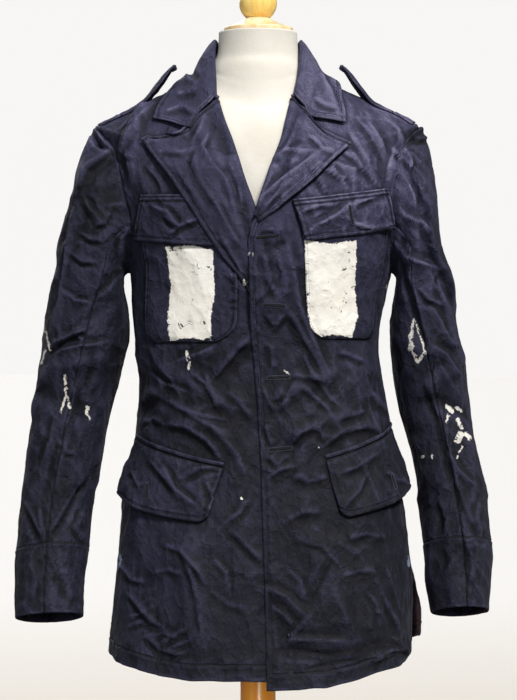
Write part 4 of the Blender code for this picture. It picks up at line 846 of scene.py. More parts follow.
def front_edge(lapel_rows, below, above):
    """Heights and x of a front's free edge: straight parts below, the roll line, the neck."""
    roll = Sections(ROLL_COLUMNS, lapel_rows).at(np.linspace(len(lapel_rows) - 1, 0, 60))
    heights = np.concatenate([[row[0] for row in below], roll["z"], [above[0]]])
    places = np.concatenate([[row[1] for row in below], roll["roll_x"], [above[1]]])
    return heights, places


def edge_angle(edge, station):
    """The angle at which a front's edge crosses each section."""
    angle = np.full_like(station, FRONT_MIDDLE)
    for _ in range(30):
        z = plain_trunk(station, angle)[..., 2]
        angle = front_angle(np.interp(z, *edge), station)
    return angle


def armhole(alpha, left):
    """Station and angle of the armhole's edge: alpha 90 degrees is the top, 0 the front."""
    station = ARM_MIDDLE + ARM_HALF * np.sin(alpha)
    scoop = np.where(np.cos(alpha) > 0, -ARM_FRONT, ARM_BACK) * np.abs(np.cos(alpha))
    return station, (-LEFT_SIDE - scoop if left else scoop)


def armhole_scoop(station, reach):
    """How far the armhole bites into a panel at each station, as an angle."""
    return reach * np.sqrt(np.clip(1 - ((station - ARM_MIDDLE) / ARM_HALF) ** 2, 0, 1))


def sleeve_folds(rows, ring, degrees):
    """How far a sleeve's folds push its cloth out, or in where it is negative."""
    total = np.zeros_like(ring)
    per_degree = SLEEVE_GIRTH / 360
    for ring_a, deg_a, ring_b, deg_b, reach, height in rows:
        away = (ring - ring_a) * RING_LENGTH, (degrees - deg_a) * per_degree
        run = (ring_b - ring_a) * RING_LENGTH, (deg_b - deg_a) * per_degree
        total += height * ridge(*away, *run, reach)
    return total


def sleeve_sections(left):
    return Sections(SLEEVE_COLUMNS, LEFT_SLEEVE_ROWS if left else RIGHT_SLEEVE_ROWS)


def sleeve_ellipse(left, row, alpha):
    """A point of a sleeve's plain ring, with its front as high as its back."""
    c, s = np.cos(alpha), np.sin(alpha)
    x = (row["outer_x"] + row["inner_x"]) / 2 + (row["outer_x"] - row["inner_x"]) / 2 * s
    z = (row["outer_z"] + row["inner_z"]) / 2 + (row["outer_z"] - row["inner_z"]) / 2 * s
    return np.stack([-x if left else x, row["middle_y"] - row["half_depth"] * c, z], axis=-1)


def sleeve_point(left, ring, alpha):
    """A point of a sleeve: alpha 0 faces front, 90 degrees is the outer line, -90 the inner."""
    row = sleeve_sections(left).at(ring)
    outward = -1 if left else 1
    c, s = np.cos(alpha), np.sin(alpha)
    ease = outward * ARMPIT_EASE * smooth(ring / 0.5) * (1 - rise(ring, 1.4, 2.6)) * smooth(0.3 - s)
    free = sleeve_ellipse(left, row, alpha)
    free[..., 2] += row["slope"] * row["half_depth"] * c
    free[..., 0] += ease
    folds = LEFT_SLEEVE_FOLDS if left else RIGHT_SLEEVE_FOLDS
    height = smooth(ring / 1.5) * sleeve_folds(folds, ring, np.degrees(alpha))
    free = free + unit(np.stack([outward * s, -c, 0.25 * s], axis=-1)) * height[..., None]
    # At the armhole the sleeve takes the armhole's shape, just inside its edge.
    joined = trunk(*armhole(alpha, left))
    middle = joined.reshape(-1, 3).mean(axis=0)
    joined = joined + unit(middle - joined) * (2.2 * SEAM_GAP)
    joined[..., 0] += outward * 2 * SEAM_GAP + ease
    start = sleeve_ellipse(left, sleeve_sections(left).at(alpha * 0), alpha)
    blend = smooth(ring / SLEEVE_BLEND)[..., None]
    return joined * (1 - blend) + (free + (joined - start) * (1 - blend)) * blend


def patch(corners, rows, columns, rounding=0.0):
    """A front-view grid between four corners, its lower corners rounded."""
    (tl, tr, br, bl) = [np.array(corner) for corner in corners]
    down = smooth_steps(rows, rounding, np.linalg.norm(tl - bl))
    across = np.linspace(0, 1, columns)[None, :, None]
    down = down[:, None, None]
    grid = (tl * (1 - across) + tr * across) * (1 - down) + (bl * (1 - across) + br * across) * down
    if rounding:
        height, width = np.linalg.norm(tl - bl), np.linalg.norm(tr - tl)
        near = np.clip((down - (1 - rounding / height)) / (rounding / height), 0, 1)
        pull = rounding / width * (1 - np.sqrt(np.clip(1 - (0.97 * near) ** 2, 0, 1)))
        centre = grid.mean(axis=1, keepdims=True)
        grid = centre + (grid - centre) * (1 - 2 * pull)
    return grid


def smooth_steps(rows, rounding, height):
    """Even rows, drawn closer round the corners at the bottom."""
    if not rounding:
        return np.linspace(0, 1, rows)
    start = 1 - rounding / height
    arc = np.sin(np.radians(np.linspace(0, 90, 5)))
    return np.concatenate([np.linspace(0, start, rows - 4)[:-1], start + (1 - start) * arc])


def front_patch(corners, rows, columns, out, left, rounding=0.0):
    """A grid on the front between four corners of the front view, even along the cloth."""
    places = np.array(corners)
    stations = station_for(places[:, 1], lambda s: front_angle(places[:, 0], s))
    angles = front_angle(places[:, 0], stations)
    place = patch(np.stack([angles * FRONT_RADIUS, places[:, 1]], axis=-1), rows, columns, rounding)
    return at_height(place[..., 0] / FRONT_RADIUS, place[..., 1], out, not left)


def hip_grid(table, top, low, rows, columns):
    """Angles and heights of a grid on a hip flap, between two shares of its height."""
    edges = Sections(HIP_COLUMNS, table).at(np.linspace(0, len(table) - 1, columns))
    down = np.linspace(top, low, rows)[:, None]
    degrees = edges["top_deg"] * (1 - down) + edges["low_deg"] * down
    z = edges["top_z"] * (1 - down) + edges["low_z"] * down
    return FRONT_MIDDLE + np.radians(degrees), z


def station_for_x(x):
    """The station whose side seam lies at a distance from the middle, on the shoulder line."""
    stations = np.linspace(SHOULDER, NECK, 60)
    widths = TRUNK.at(stations)["half_width"]
    return np.interp(-x, -widths, stations)


def ball_profile():
    """The finial: a short neck that widens into the ball."""
    seat = CAP_TOP + SEAM_GAP
    low = math.asin(BALL_SEAT_RADIUS / BALL_RADIUS)
    profile = [(0.0, seat), (BALL_SEAT_RADIUS, seat)]
    for turn in np.linspace(math.pi - low, 0.03, 34):
        profile.append((BALL_RADIUS * math.sin(turn), BALL_CENTRE + BALL_RADIUS * math.cos(turn)))
    return profile + [(0.0, BALL_CENTRE + BALL_RADIUS)]


class Noise:
    """Smooth noise between -1 and 1 on a lattice of seeded values."""

    def __init__(self, seed):
        self.lattice = np.random.RandomState(seed).rand(LATTICE, LATTICE, LATTICE) * 2 - 1

    def at(self, points, size):
        place = points / size
        low = np.floor(place).astype(int)
        f = place - low
        f = f * f * (3 - 2 * f)
        total = 0
        for corner in np.ndindex(2, 2, 2):
            bits = corner[::-1]
            index = (low + np.array(bits)) % LATTICE
            weight = 1
            for axis, bit in enumerate(bits):
                weight = weight * (f[..., axis] if bit else 1 - f[..., axis])
            total = total + weight * self.lattice[index[..., 0], index[..., 1], index[..., 2]]
        return total


CRUMPLE = Noise(7)


def seen(points, from_behind=False):
    """Where the camera sees points, in pixels."""
    away = 0 if from_behind else points[..., 1]
    scale = CAMERA_DISTANCE / (CAMERA_DISTANCE + away) / PIXEL
    return (MIDDLE_U + points[..., 0] * scale,
            MIDDLE_V - (points[..., 2] - CAMERA_HEIGHT) * scale)


def beside_line(line, u, v):
    """Distance from a polyline, the same with the sign of its side, and the share along it."""
    ways = np.diff(line, axis=0)
    lengths = np.linalg.norm(ways, axis=1)
    starts = run_along(line)
    best, signed, along = np.full_like(u, 1e9), np.zeros_like(u), np.zeros_like(u)
    for (au, av), (du, dv), length, start in zip(line, ways / lengths[:, None], lengths, starts):
        run = np.clip((u - au) * du + (v - av) * dv, 0, length)
        off_u, off_v = u - au - run * du, v - av - run * dv
        off = np.hypot(off_u, off_v)
        nearer = off < best
        best = np.where(nearer, off, best)
        signed = np.where(nearer, np.sign(du * off_v - dv * off_u) * off, signed)
        along = np.where(nearer, (start + run) / starts[-1], along)
    return best, signed, along


def crease_relief(off, beside, half, height, side):
    """Height of one crease: steep on one side, gentle on the other, with a dip beside it."""
    gentle = STEEP_WIDTH + GENTLER_BY * smooth(0.5 - beside / half)
    width = half * (gentle if side else EVEN_WIDTH)
    crest = np.exp(-(off / width) ** CREST_POWER)
    dip = DIP_SHARE * bell(beside - DIP_PLACE * half, DIP_REACH * half) if side else 0
    return height * CREASE_GAIN * (crest - dip * np.sign(height))


def crease_wear_and_shade(off, beside, height, side):
    """The pale rub along one crease's crest, partly wear and partly painted highlight, less the
    painted shade beneath it.
    """
    crest_tone = np.sign(height) * bell(off, CREST_TONE_REACH)
    near = np.exp(-(off / SHADE_REACH) ** 4)
    below = bell(beside - SHADE_PLACE, SHADE_WIDTH) * near if side else 0
    return CREST_TONE_GAIN * min(abs(height), CREST_TONE_FULL) * (crest_tone - SHADE_SHARE * below)


def crease_height(u, v, rows, crease_tone=False):
    """Height of the listed creases at pixels u, v, in metres, or their tone: wear and painted
    highlight on the crests, painted shade beside them.
    """
    total = np.zeros_like(u)
    for line, half, height, side in rows:
        line = np.array(line, dtype=float)
        low, high = line.min(axis=0) - 5 * half, line.max(axis=0) + 5 * half
        near = (u > low[0]) & (u < high[0]) & (v > low[1]) & (v < high[1])
        if not near.any():
            continue
        off, signed, along = beside_line(line, u[near], v[near])
        taper = smooth(along / END_TAPER) * smooth((1 - along) / END_TAPER)
        taper = taper * (1 - END_LEFT) + END_LEFT
        taper = taper * (0.8 + 0.2 * np.sin(along * 9 + half * 7))      # uneven along its length
        if crease_tone:
            total[near] += taper * crease_wear_and_shade(off, signed * side, height, side)
        else:
            total[near] += taper * crease_relief(off, signed * side, half, height, side)
    return total


def creased(grid, rows):
    """The creases on a piece in front: their height and their tone, wear with painted highlight and
    painted shade.
    """
    u, v = seen(grid)
    return crease_height(u, v, rows), crease_height(u, v, rows, True)


def inside(polygon, u, v):
    """How many pixels a point lies inside a polygon, negative outside it."""
    corners = np.array(polygon, dtype=float)
    best = np.full_like(u, 1e9)
    within = np.zeros(u.shape, dtype=bool)
    for a, b in zip(corners, np.roll(corners, -1, axis=0)):
        d = b - a
        run = np.clip(((u - a[0]) * d[0] + (v - a[1]) * d[1]) / (d @ d), 0, 1)
        best = np.minimum(best, np.hypot(u - a[0] - run * d[0], v - a[1] - run * d[1]))
        crosses = (a[1] > v) != (b[1] > v)
        if b[1] != a[1]:
            within ^= crosses & (u < (b[0] - a[0]) * (v - a[1]) / (b[1] - a[1]) + a[0])
    return np.where(within, best, -best)


def crushed(points, size, seed):
    """Soft troughs between sharp irregular ridges, from 0 to about 1, as crushed cloth has."""
    table = np.random.RandomState(seed).rand(LATTICE, LATTICE, LATTICE, 3)
    place = points / size
    low = np.floor(place).astype(int)
    best = np.full(points.shape[:-1], 9.0)
    for step in np.ndindex(3, 3, 3):
        cell = low + np.array(step) - 1
        index = cell % LATTICE
        at = cell + table[index[..., 0], index[..., 1], index[..., 2]]
        best = np.minimum(best, ((place - at) ** 2).sum(axis=-1))
    return best


def crumple(points, amount=1.0):
    """Small uneven wrinkles of worn cotton, in metres."""
    warp = np.stack([CRUMPLE.at(points + shift, 0.055) for shift in (2.2, 4.4, 6.6)], axis=-1)
    slant = points * np.array([1.0, 1.0, CRUMPLE_SLANT])
    slant = slant + points[..., [2, 0, 1]] * np.array([0.30, 0, 0.2])
    bent = slant + 0.016 * warp
    patchy = smooth(0.5 + 1.5 * CRUMPLE.at(points + 11, 0.10))
    total = BROAD_HEIGHT * CRUMPLE.at(points, BROAD_SIZE) - CRUSH_MEAN
    for size, height, seed, stretch, offset, everywhere, on_patches in CRUSH_ROWS:
        share = everywhere + on_patches * patchy
        total = total + height * crushed(bent * stretch + offset, size, seed) * share
    return amount * total


def relief(points):
    """Fine creases of the trunk at points of its plain surface, in metres."""
    u, v = seen(points)
    facing = smooth(-points[..., 1] / FACING_DEPTH)
    away = smooth(points[..., 1] / FACING_DEPTH)
    hidden = np.zeros_like(u)
    for polygon in COVERED:
        hidden = np.maximum(hidden, rise(inside(polygon, u, v), -2, 6))
    total = facing * (1 - hidden) * crease_height(u, v, TORSO_CREASES)
    total = total + away * crease_height(*seen(points, True), BACK_CREASES)
    total = total + crumple(points) * (1 - 0.8 * hidden * facing)
    return np.where(total < 0, -DEEPEST * (1 - np.exp(total / DEEPEST)), total)


def fading_and_light(u, v):
    """How worn and faded the cloth is, with painted light and shade in it, from 0 to 1 and past it.
    """
    total = np.interp(v, *zip(*FADE_AND_LIGHT_BASE))
    for cu, cv, half_u, half_v, change in FADED_AND_LIT:
        total = total + change * bell(u - cu, half_u) * bell(v - cv, half_v)
    return total


def facet_light_and_shade(u, v):
    """The painted light and shade of the flat facets between the large folds, as seen in front."""
    return sum(change * smooth((inside(polygon, u, v) + 4) / 8) for polygon, change in LIT_AND_SHADED_FACETS)


def steps(length, coarse, marks=(), fine=0.0011, reach=0.0045):
    """Places along a length, closer together near the marks."""
    places = [0.0]
    while places[-1] < length:
        here = places[-1]
        near = any(abs(here - mark) < reach for mark in marks)
        places.append(here + (fine if near else coarse))
    places = np.array(places)
    return places * (length / places[-1])


def shares(length, coarse, marks=()):
    """The same places as shares of the length."""
    return steps(length, coarse, marks) / length


def hermite(values, at):
    """Points at places along smooth curves through values, which lie along axis 0."""
    gaps = np.linalg.norm(np.diff(values, axis=0), axis=-1).mean(axis=1)
    places = np.concatenate([[0], np.cumsum(gaps)])
    at = np.clip(np.asarray(at) * places[-1], 0, places[-1])
    slopes = np.gradient(values, places, axis=0)
    low = np.clip(np.searchsorted(places, at, side="right") - 1, 0, len(gaps) - 1)
    gap = gaps[low][:, None, None]
    f = ((at - places[low]) / gaps[low])[:, None, None]
    return cubic(f, values[low], values[low + 1], gap * slopes[low], gap * slopes[low + 1])


def refined(grid, rows, columns):
    """A finer grid through a coarse one, at shares of its mean lengths."""
    tall = hermite(grid, rows)
    return hermite(tall.swapaxes(0, 1), columns).swapaxes(0, 1)


def mean_length(grid, axis):
    gaps = np.linalg.norm(np.diff(grid, axis=axis), axis=-1)
    return float(gaps.sum(axis=axis).mean())


def outward_of(grid, flip):
    normal = unit(np.cross(np.gradient(grid, axis=1), np.gradient(grid, axis=0)))
    return -normal if flip else normal


def margins(grid):
    """Distance of each point from the grid's four edges, along the cloth, and its place along
    them."""
    def run(axis):
        gaps = np.linalg.norm(np.diff(grid, axis=axis), axis=-1)
        pad = [(0, 0), (0, 0)]
        pad[axis] = (1, 0)
        return np.pad(np.cumsum(gaps, axis=axis), pad)
    across, down = run(1), run(0)
    return {"first": (across, down), "last": (across[:, -1:] - across, down),
            "low": (down, across), "high": (down[-1:] - down, across)}


def edge_of(kind, *stitches, pucker=0.0004, dip=STITCH_DIP, reach=0.0070, start=0.0, stop=1.0):
    """One side of a piece: a turned edge or a seam, and how far in from it stitches run."""
    return {"kind": kind, "stitches": stitches, "pucker": pucker, "dip": dip, "reach": reach,
            "start": start, "stop": stop}


def alike(sides, kind, *stitches, **settings):
    """The same edge on several sides of a piece."""
    return {side: edge_of(kind, *stitches, **settings) for side in sides.split()}


def sewn(grid, outward, edges, seed):
    """Moves the cloth at its edges: rounded where it turns, drawn in at seams and stitches."""
    around = margins(grid)
    push = np.zeros(grid.shape[:2])
    for number, (side, spec) in enumerate(edges.items()):
        away, along = around[side]
        if spec["kind"] == "turned":
            push -= EDGE_DROP * bell(away, EDGE_ROUND)
        else:
            push -= SEAM_DIP * bell(away, SEAM_REACH)
        place = np.stack([along, 0 * along + seed, 0 * along + number * 3.7], axis=-1)
        wave = spec["pucker"] * (CRUMPLE.at(place, 0.0085) + 0.6 * CRUMPLE.at(place + 5, 0.0047))
        for stitch in spec["stitches"]:
            push -= spec["dip"] * bell(away - stitch, STITCH_REACH)
            push += RIDGE_HEIGHT * bell(away - stitch + RIDGE_BESIDE, RIDGE_REACH)
            push += wave * bell(away - stitch, PUCKER_REACH)
        if not spec["stitches"]:
            push += wave * bell(away, spec["reach"])
    return grid + outward * push[..., None]


# Lines of stitches, each as points and outward directions, along which threads are laid at the end.
STITCH_LINES = []


def note_stitches(grid, outward, edges):
    """Keeps a piece's lines of stitches."""
    around = margins(grid)
    for side, spec in edges.items():
        cross, points, normals = around[side][0], grid, outward
        if side in ("low", "high"):
            cross, points, normals = cross.T, points.swapaxes(0, 1), normals.swapaxes(0, 1)
        if side in ("last", "high"):
            cross, points, normals = cross[:, ::-1], points[:, ::-1], normals[:, ::-1]
        first, last = [int(spec[end] * (len(points) - 1)) for end in ("start", "stop")]
        for stitch in spec["stitches"]:
            line, ups = [], []
            for k in range(first, last + 1):
                if cross[k, -1] < 2 * stitch:
                    continue
                at = np.interp(stitch, cross[k], np.arange(len(cross[k])))
                low = min(int(at), len(cross[k]) - 2)
                f = at - low
                line.append(points[k, low] * (1 - f) + points[k, low + 1] * f)
                ups.append(normals[k, low])
            if len(line) > 2:
                STITCH_LINES.append((np.array(line), np.array(ups)))


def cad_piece(obj, material, node):
    """Puts a finished piece in the scene, in place of its solid."""
    if material:
        obj.data.materials.append(material)
    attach(obj, "root")
    if node:
        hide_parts(node)
    return obj


def bulge(grid, outward, reach):
    """How far the cloth stands out from its surroundings a given reach away."""
    total = np.zeros(grid.shape[:2])
    for axis in (0, 1):
        count = grid.shape[axis]
        offset = min(max(1, round(reach / mean_length(grid, axis) * (count - 1))), count // 3)
        places = np.arange(count)
        after = np.take(grid, np.minimum(places + offset, count - 1), axis=axis)
        before = np.take(grid, np.maximum(places - offset, 0), axis=axis)
        far_after = np.linalg.norm(after - grid, axis=-1)
        far_before = np.linalg.norm(before - grid, axis=-1)
        span = (far_after + far_before + 1e-9)[..., None]
        level = (after * far_before[..., None] + before * far_after[..., None]) / span
        shape = np.minimum(reach ** 2 / (far_after * far_before + 1e-9), 2.5)
        straight = (unit(after - grid + 1e-9) * unit(grid - before + 1e-9)).sum(axis=-1)
        shape = shape * smooth(np.minimum(far_after, far_before) / (0.7 * reach))
        shape = shape * smooth((straight - 0.80) / 0.15)
        total += ((grid - level) * outward).sum(axis=-1) * shape / 2
    return total


# Outlines, in pixels, of the pieces made so far that lie on others: painted shadow is put beside
# them.
TOP_EDGES = []


def contact(u, v):
    """Distance in pixels from the nearest outline of a piece lying on this one."""
    best = np.full_like(u, CONTACT_FAR)
    for line in TOP_EDGES:
        low, high = line.min(axis=0) - 6, line.max(axis=0) + 6
        near = (u > low[0]) & (u < high[0]) & (v > low[1]) & (v < high[1])
        if near.any():
            pu, pv = u[near], v[near]
            closest = np.full_like(pu, CONTACT_FAR ** 2)
            for a, b in line:
                closest = np.minimum(closest, (pu - a) ** 2 + (pv - b) ** 2)
            best[near] = np.minimum(best[near], np.sqrt(closest))
    return best


def turned_in(rows, edges, thickness):
    """Adds the turned edges' own thickness: round the edge and a little way back inside."""
    for side, spec in edges.items():
        if spec["kind"] != "turned":
            continue
        sheet = rows if side in ("low", "high") else rows.swapaxes(0, 1)
        middle = sheet[:, sheet.shape[1] // 2, :3]
        if run_along(middle)[-1] < SHORTEST_TURN:
            continue
        if side in ("last", "high"):
            sheet = sheet[::-1]
        edge = sheet[0]
        inward = unit(sheet[2, :, :3] - edge[:, :3] + 1e-9)
        normal = edge[:, 3:6]
        extra = []
        for back, deep in TURN_ROWS:
            row = edge.copy()
            row[:, :3] += inward * back - normal * (deep * thickness)
            extra.append(row)
        sheet = np.concatenate([np.stack(extra), sheet])
        if side in ("last", "high"):
            sheet = sheet[::-1]
        rows = sheet if side in ("low", "high") else sheet.swapaxes(0, 1)
    return rows


def wear_and_shade_maps(grid, outward, edges, crest_tone, lies_on_top):
    """What the twill's material reads at each point, in the order of MAPS, then the camera's pixel
    and the place on the cloth."""
    around = margins(grid)
    # Paler on crests, partly wear and partly painted highlight, and darker in hollows with painted
    # shade.
    crest = sum(weight * bulge(grid, outward, reach) / full for reach, full, weight in CREST_SCALES)
    crest = np.clip(crest, -1, 1) + crest_tone
    edge_wear_and_shade = np.zeros(grid.shape[:2])
    for side, spec in edges.items():
        away = around[side][0]
        # Painted shade in seams and along stitches.
        if spec["kind"] == "seam":
            crest -= SEAM_SHADE * bell(away, SEAM_SHADE_REACH)
        for stitch in spec["stitches"]:
            crest -= STITCH_SHADE * bell(away - stitch, STITCH_SHADE_REACH)
        # Turned edges rub pale, partly wear and partly painted highlight, with painted shade along
        # their stitches.
        if spec["kind"] == "turned":
            edge_wear_and_shade = np.maximum(edge_wear_and_shade, bell(away, EDGE_RIM_REACH))
            for stitch in spec["stitches"]:
                edge_wear_and_shade = edge_wear_and_shade - SEAM_SHADE * bell(away - stitch, SEAM_SHADE_REACH)
    u, v = seen(grid)
    facing = smooth(-outward[..., 1] / 0.30)
    # Painted shadow beside the outlines of pieces that lie on this one.
    crest -= CONTACT_SHADE * np.exp(-contact(u, v) / CONTACT_REACH) * facing
    if lies_on_top:
        pixels = np.stack([u, v], axis=-1)
        TOP_EDGES.append(np.concatenate([pixels[0], pixels[-1], pixels[:, 0], pixels[:, -1]]))
    # Fading and painted light: paler towards the top, with lit and shaded spots and facets.
    fade = fading_and_light(u, v) + facet_light_and_shade(u, v) * facing
    paint = np.maximum(*[inside(block, u, v) for block in PAINT_BLOCKS])
    across, down = around["first"]
    return np.stack([np.clip(crest, DARKEST, 1), edge_wear_and_shade, facing, fade, paint, u / 100, v / 100,
                     across, down], axis=-1)


MAPS = ("crest", "edge", "facing", "fade", "paint")


def cloth_mesh(name, points, maps, flip):
    """A grid as a smooth mesh that carries its maps."""
    rows, columns = points.shape[:2]
    index = np.arange(rows * columns).reshape(rows, columns)
    corners = [index[:-1, :-1], index[:-1, 1:], index[1:, 1:], index[1:, :-1]]
    quads = np.stack(corners if not flip else corners[::-1], axis=-1).reshape(-1, 4)
    mesh = bpy.data.meshes.new(name)
    mesh.vertices.add(rows * columns)
    mesh.vertices.foreach_set("co", points.astype(np.float32).ravel())
    mesh.loops.add(quads.size)
    mesh.loops.foreach_set("vertex_index", quads.astype(np.int32).ravel())
    mesh.polygons.add(len(quads))
    mesh.polygons.foreach_set("loop_start", np.arange(0, quads.size, 4, dtype=np.int32))
    mesh.update(calc_edges=True)
    mesh.validate()
    mesh.polygons.foreach_set("use_smooth", np.ones(len(quads), dtype=bool))
    for number, label in enumerate(MAPS):
        layer = mesh.attributes.new(label, "FLOAT", "POINT")
        layer.data.foreach_set("value", maps[..., number].astype(np.float32).ravel())
    for label, low in (("place", len(MAPS)), ("weave", len(MAPS) + 2)):
        layer = mesh.uv_layers.new(name=label)
        both = maps[..., low:low + 2].reshape(-1, 2)[quads.ravel()]
        layer.data.foreach_set("uv", both.astype(np.float32).ravel())
    obj = bpy.data.objects.new(name, mesh)
    scene.collection.objects.link(obj)
    return obj


# Grids and outward directions of the finished shells, by name.
SHELLS = {}


def shell(name, grid, flip, material, edges, thickness=SHELL, own=None, crest_tone=0.0, seed=0.0,
          lies_on_top=False):
    """A thin sheet of cloth on a grid: creases, sewn edges, wear and painted light and shade, put
    in place of its solid.
    """
    outward = outward_of(grid, flip)
    if own is not None:
        grid = grid + outward * own[..., None]
        outward = outward_of(grid, flip)
    grid = sewn(grid, outward, edges, seed)
    outward = outward_of(grid, flip)
    SHELLS[name] = grid, outward
    note_stitches(grid, outward, edges)
    maps = wear_and_shade_maps(grid, outward, edges, crest_tone, lies_on_top)
    finished = turned_in(np.concatenate([grid, outward, maps], axis=-1), edges, thickness)
    obj = cloth_mesh(name, finished[..., :3], finished[..., 6:], flip)
    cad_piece(obj, material, name.removesuffix("_cloth"))
    across, down = margins(grid)["first"]


def rows_along(angle, coarse, marks=()):
    """Stations of a panel's rows: even along the cloth, closer near marks from the hem and where
    the armhole bites in."""
    dense = np.linspace(0, NECK, 1500)
    run = run_along(plain_trunk(dense, np.full_like(dense, angle)))
    even = np.interp(steps(run[-1], coarse, marks), run, dense)
    beside = armhole(np.radians(np.linspace(-90, 90, 65)), False)[0]
    outside = even[(even < ARMPIT - 0.05) | (even > SHOULDER + 0.05)]
    return np.sort(np.concatenate([outside, beside]))


def hem_ripple(grid, station, seed):
    """How the lowest part of a panel waves, as its turned hem draws it in unevenly."""
    line = np.stack([grid[..., 0], grid[..., 1], 0 * station + seed], axis=-1)
    low = smooth(1 - station / 1.6)
    wave = CRUMPLE.at(line, 0.050) + 0.5 * CRUMPLE.at(line + 3, 0.021)
    out = CRUMPLE.at(line + 7, 0.040) + 0.6 * CRUMPLE.at(line + 5, 0.018)
    side = unit(grid * np.array([1, 1, 0]))
    return side * (0.0024 * low * out)[..., None] + np.stack(
        [0 * wave, 0 * wave, 0.0030 * low * wave], axis=-1)


def front(name, left, material):
    """One front, from its side seam to its free edge."""
    if left:
        free = front_edge(LEFT_LAPEL_ROWS, LEFT_EDGE_BELOW, LEFT_EDGE_ABOVE)
    else:
        free = front_edge(RIGHT_LAPEL_ROWS, RIGHT_EDGE_BELOW, RIGHT_EDGE_ABOVE)
    rows = rows_along(FRONT_MIDDLE + (-0.5 if left else 0.5), FRONT_SPACING, (HEM_MARK, HEM_STITCH))
    edge = edge_angle(free, rows)
    side = SIDE_SEAM_HALF + armhole_scoop(rows, ARM_FRONT)
    start = -LEFT_SIDE + side if left else -side
    marks = (EDGE_MARK, FRONT_WIDTH - EDGE_MARK, FRONT_WIDTH - 0.006)
    share = shares(FRONT_WIDTH, FRONT_SPACING, marks)
    angle = start[:, None] + (edge - start)[:, None] * share[None, :]
    station = np.repeat(rows[:, None], len(share), axis=1)
    grid = trunk(station, angle, 0.0, top_front=not left)
    if left:
        grid[..., 2] += LEFT_HEM_RISE * smooth(share[None, :]) * smooth(1 - station / 3)
    grid = grid + hem_ripple(grid, station, 3.1 if left else 6.7)
    edges = {
        "first": edge_of("seam", pucker=0.0007),
        "last": edge_of("turned", FRONT_STITCH, pucker=0.0005, stop=0.70),
        "low": edge_of("turned", HEM_STITCH, pucker=0.0008),
        "high": edge_of("seam"),
    }
    crest_tone = smooth(-grid[..., 1] / FACING_DEPTH) * creased(grid, TORSO_CREASES)[1]
    shell(name, grid, not left, material, edges, seed=1.3 if left else 4.1, crest_tone=crest_tone)


def back(name, material):
    """The back, whose lower side edges swing out behind the fronts below the vents' tops."""
    rows = rows_along(math.pi / 2, BACK_SPACING, (HEM_MARK, HEM_STITCH))
    scoop = armhole_scoop(rows, ARM_BACK)
    side = SIDE_SEAM_HALF + scoop
    side = side - 0.009 * smooth(1 - scoop / 0.02) * smooth((SHOULDER - rows) / 0.5)
    share = shares(BACK_WIDTH, BACK_SPACING_ACROSS, (EDGE_MARK, BACK_WIDTH - EDGE_MARK))
    across = share[None, :]
    angle = side[:, None] + (math.pi - 2 * side)[:, None] * across
    station = np.repeat(rows[:, None], len(share), axis=1)
    grid = trunk(station, angle)
    low = smooth((VENT_TOP - grid[..., 2]) / 0.09)
    swing = low * (1 - smooth(np.minimum(across, 1 - across) / 0.16))
    grid[..., 0] += VENT_SWING * swing * (across < 0.5)
    grid[..., 1] += VENT_BACK * swing
    grid[..., 2] += BACK_HEM_RISE * swing * smooth(1 - station / 2.5)
    grid = grid + hem_ripple(grid, station, 9.2)
    edges = alike("first last", "seam", pucker=0.0007)
    edges["low"] = edge_of("turned", HEM_STITCH, pucker=0.0008)
    edges["high"] = edge_of("seam")
    away = margins(grid)
    side_seam = np.minimum(away["first"][0], away["last"][0])
    own = -0.0011 * bell(grid[..., 0] - 0.004, 0.0016) - 0.0012 * bell(side_seam, 0.0025)
    crease_tone = crease_height(*seen(grid, True), BACK_CREASES, True)
    shell(name, grid, False, material, edges, own=own, seed=8.2,
          crest_tone=smooth(grid[..., 1] / FACING_DEPTH) * crease_tone)


def tucked(left, alpha, more, out):
    """Seam allowance of the sleeve head, just inside the armhole's edge."""
    side = -LEFT_SIDE if left else 0.0
    station, angle = armhole(alpha, left)
    return trunk(ARM_MIDDLE + (station - ARM_MIDDLE) * more, side + (angle - side) * more, out)


def mirrored(rows):
    """One sleeve's creases as they lie on the back of the other sleeve."""
    return tuple((tuple((2 * MIDDLE_U - u + 4, v * 0.97 + 12) for u, v in line), *rest)
                 for line, *rest in rows)


def sleeve_relief(grid, ring, degrees, left):
    """The creases in front and those behind on a sleeve: their height and their tone, wear with
    painted highlight and painted shade.
    """
    own_rows, other_rows = LEFT_SLEEVE_CREASES, RIGHT_SLEEVE_CREASES
    if not left:
        own_rows, other_rows = other_rows, own_rows
    ahead = np.cos(np.radians(degrees))
    near_top = smooth(ring / 0.25)
    facing = near_top * smooth(0.15 + 1.6 * ahead)
    behind = near_top * 0.5 * smooth(0.1 - 1.6 * ahead)
    height, crease_tone = creased(grid, own_rows)
    u, v = seen(grid, True)
    far_rows = mirrored(other_rows)
    return (1.1 * facing * height + behind * crease_height(u, v, far_rows),
            facing * crease_tone + behind * crease_height(u, v, far_rows, True))


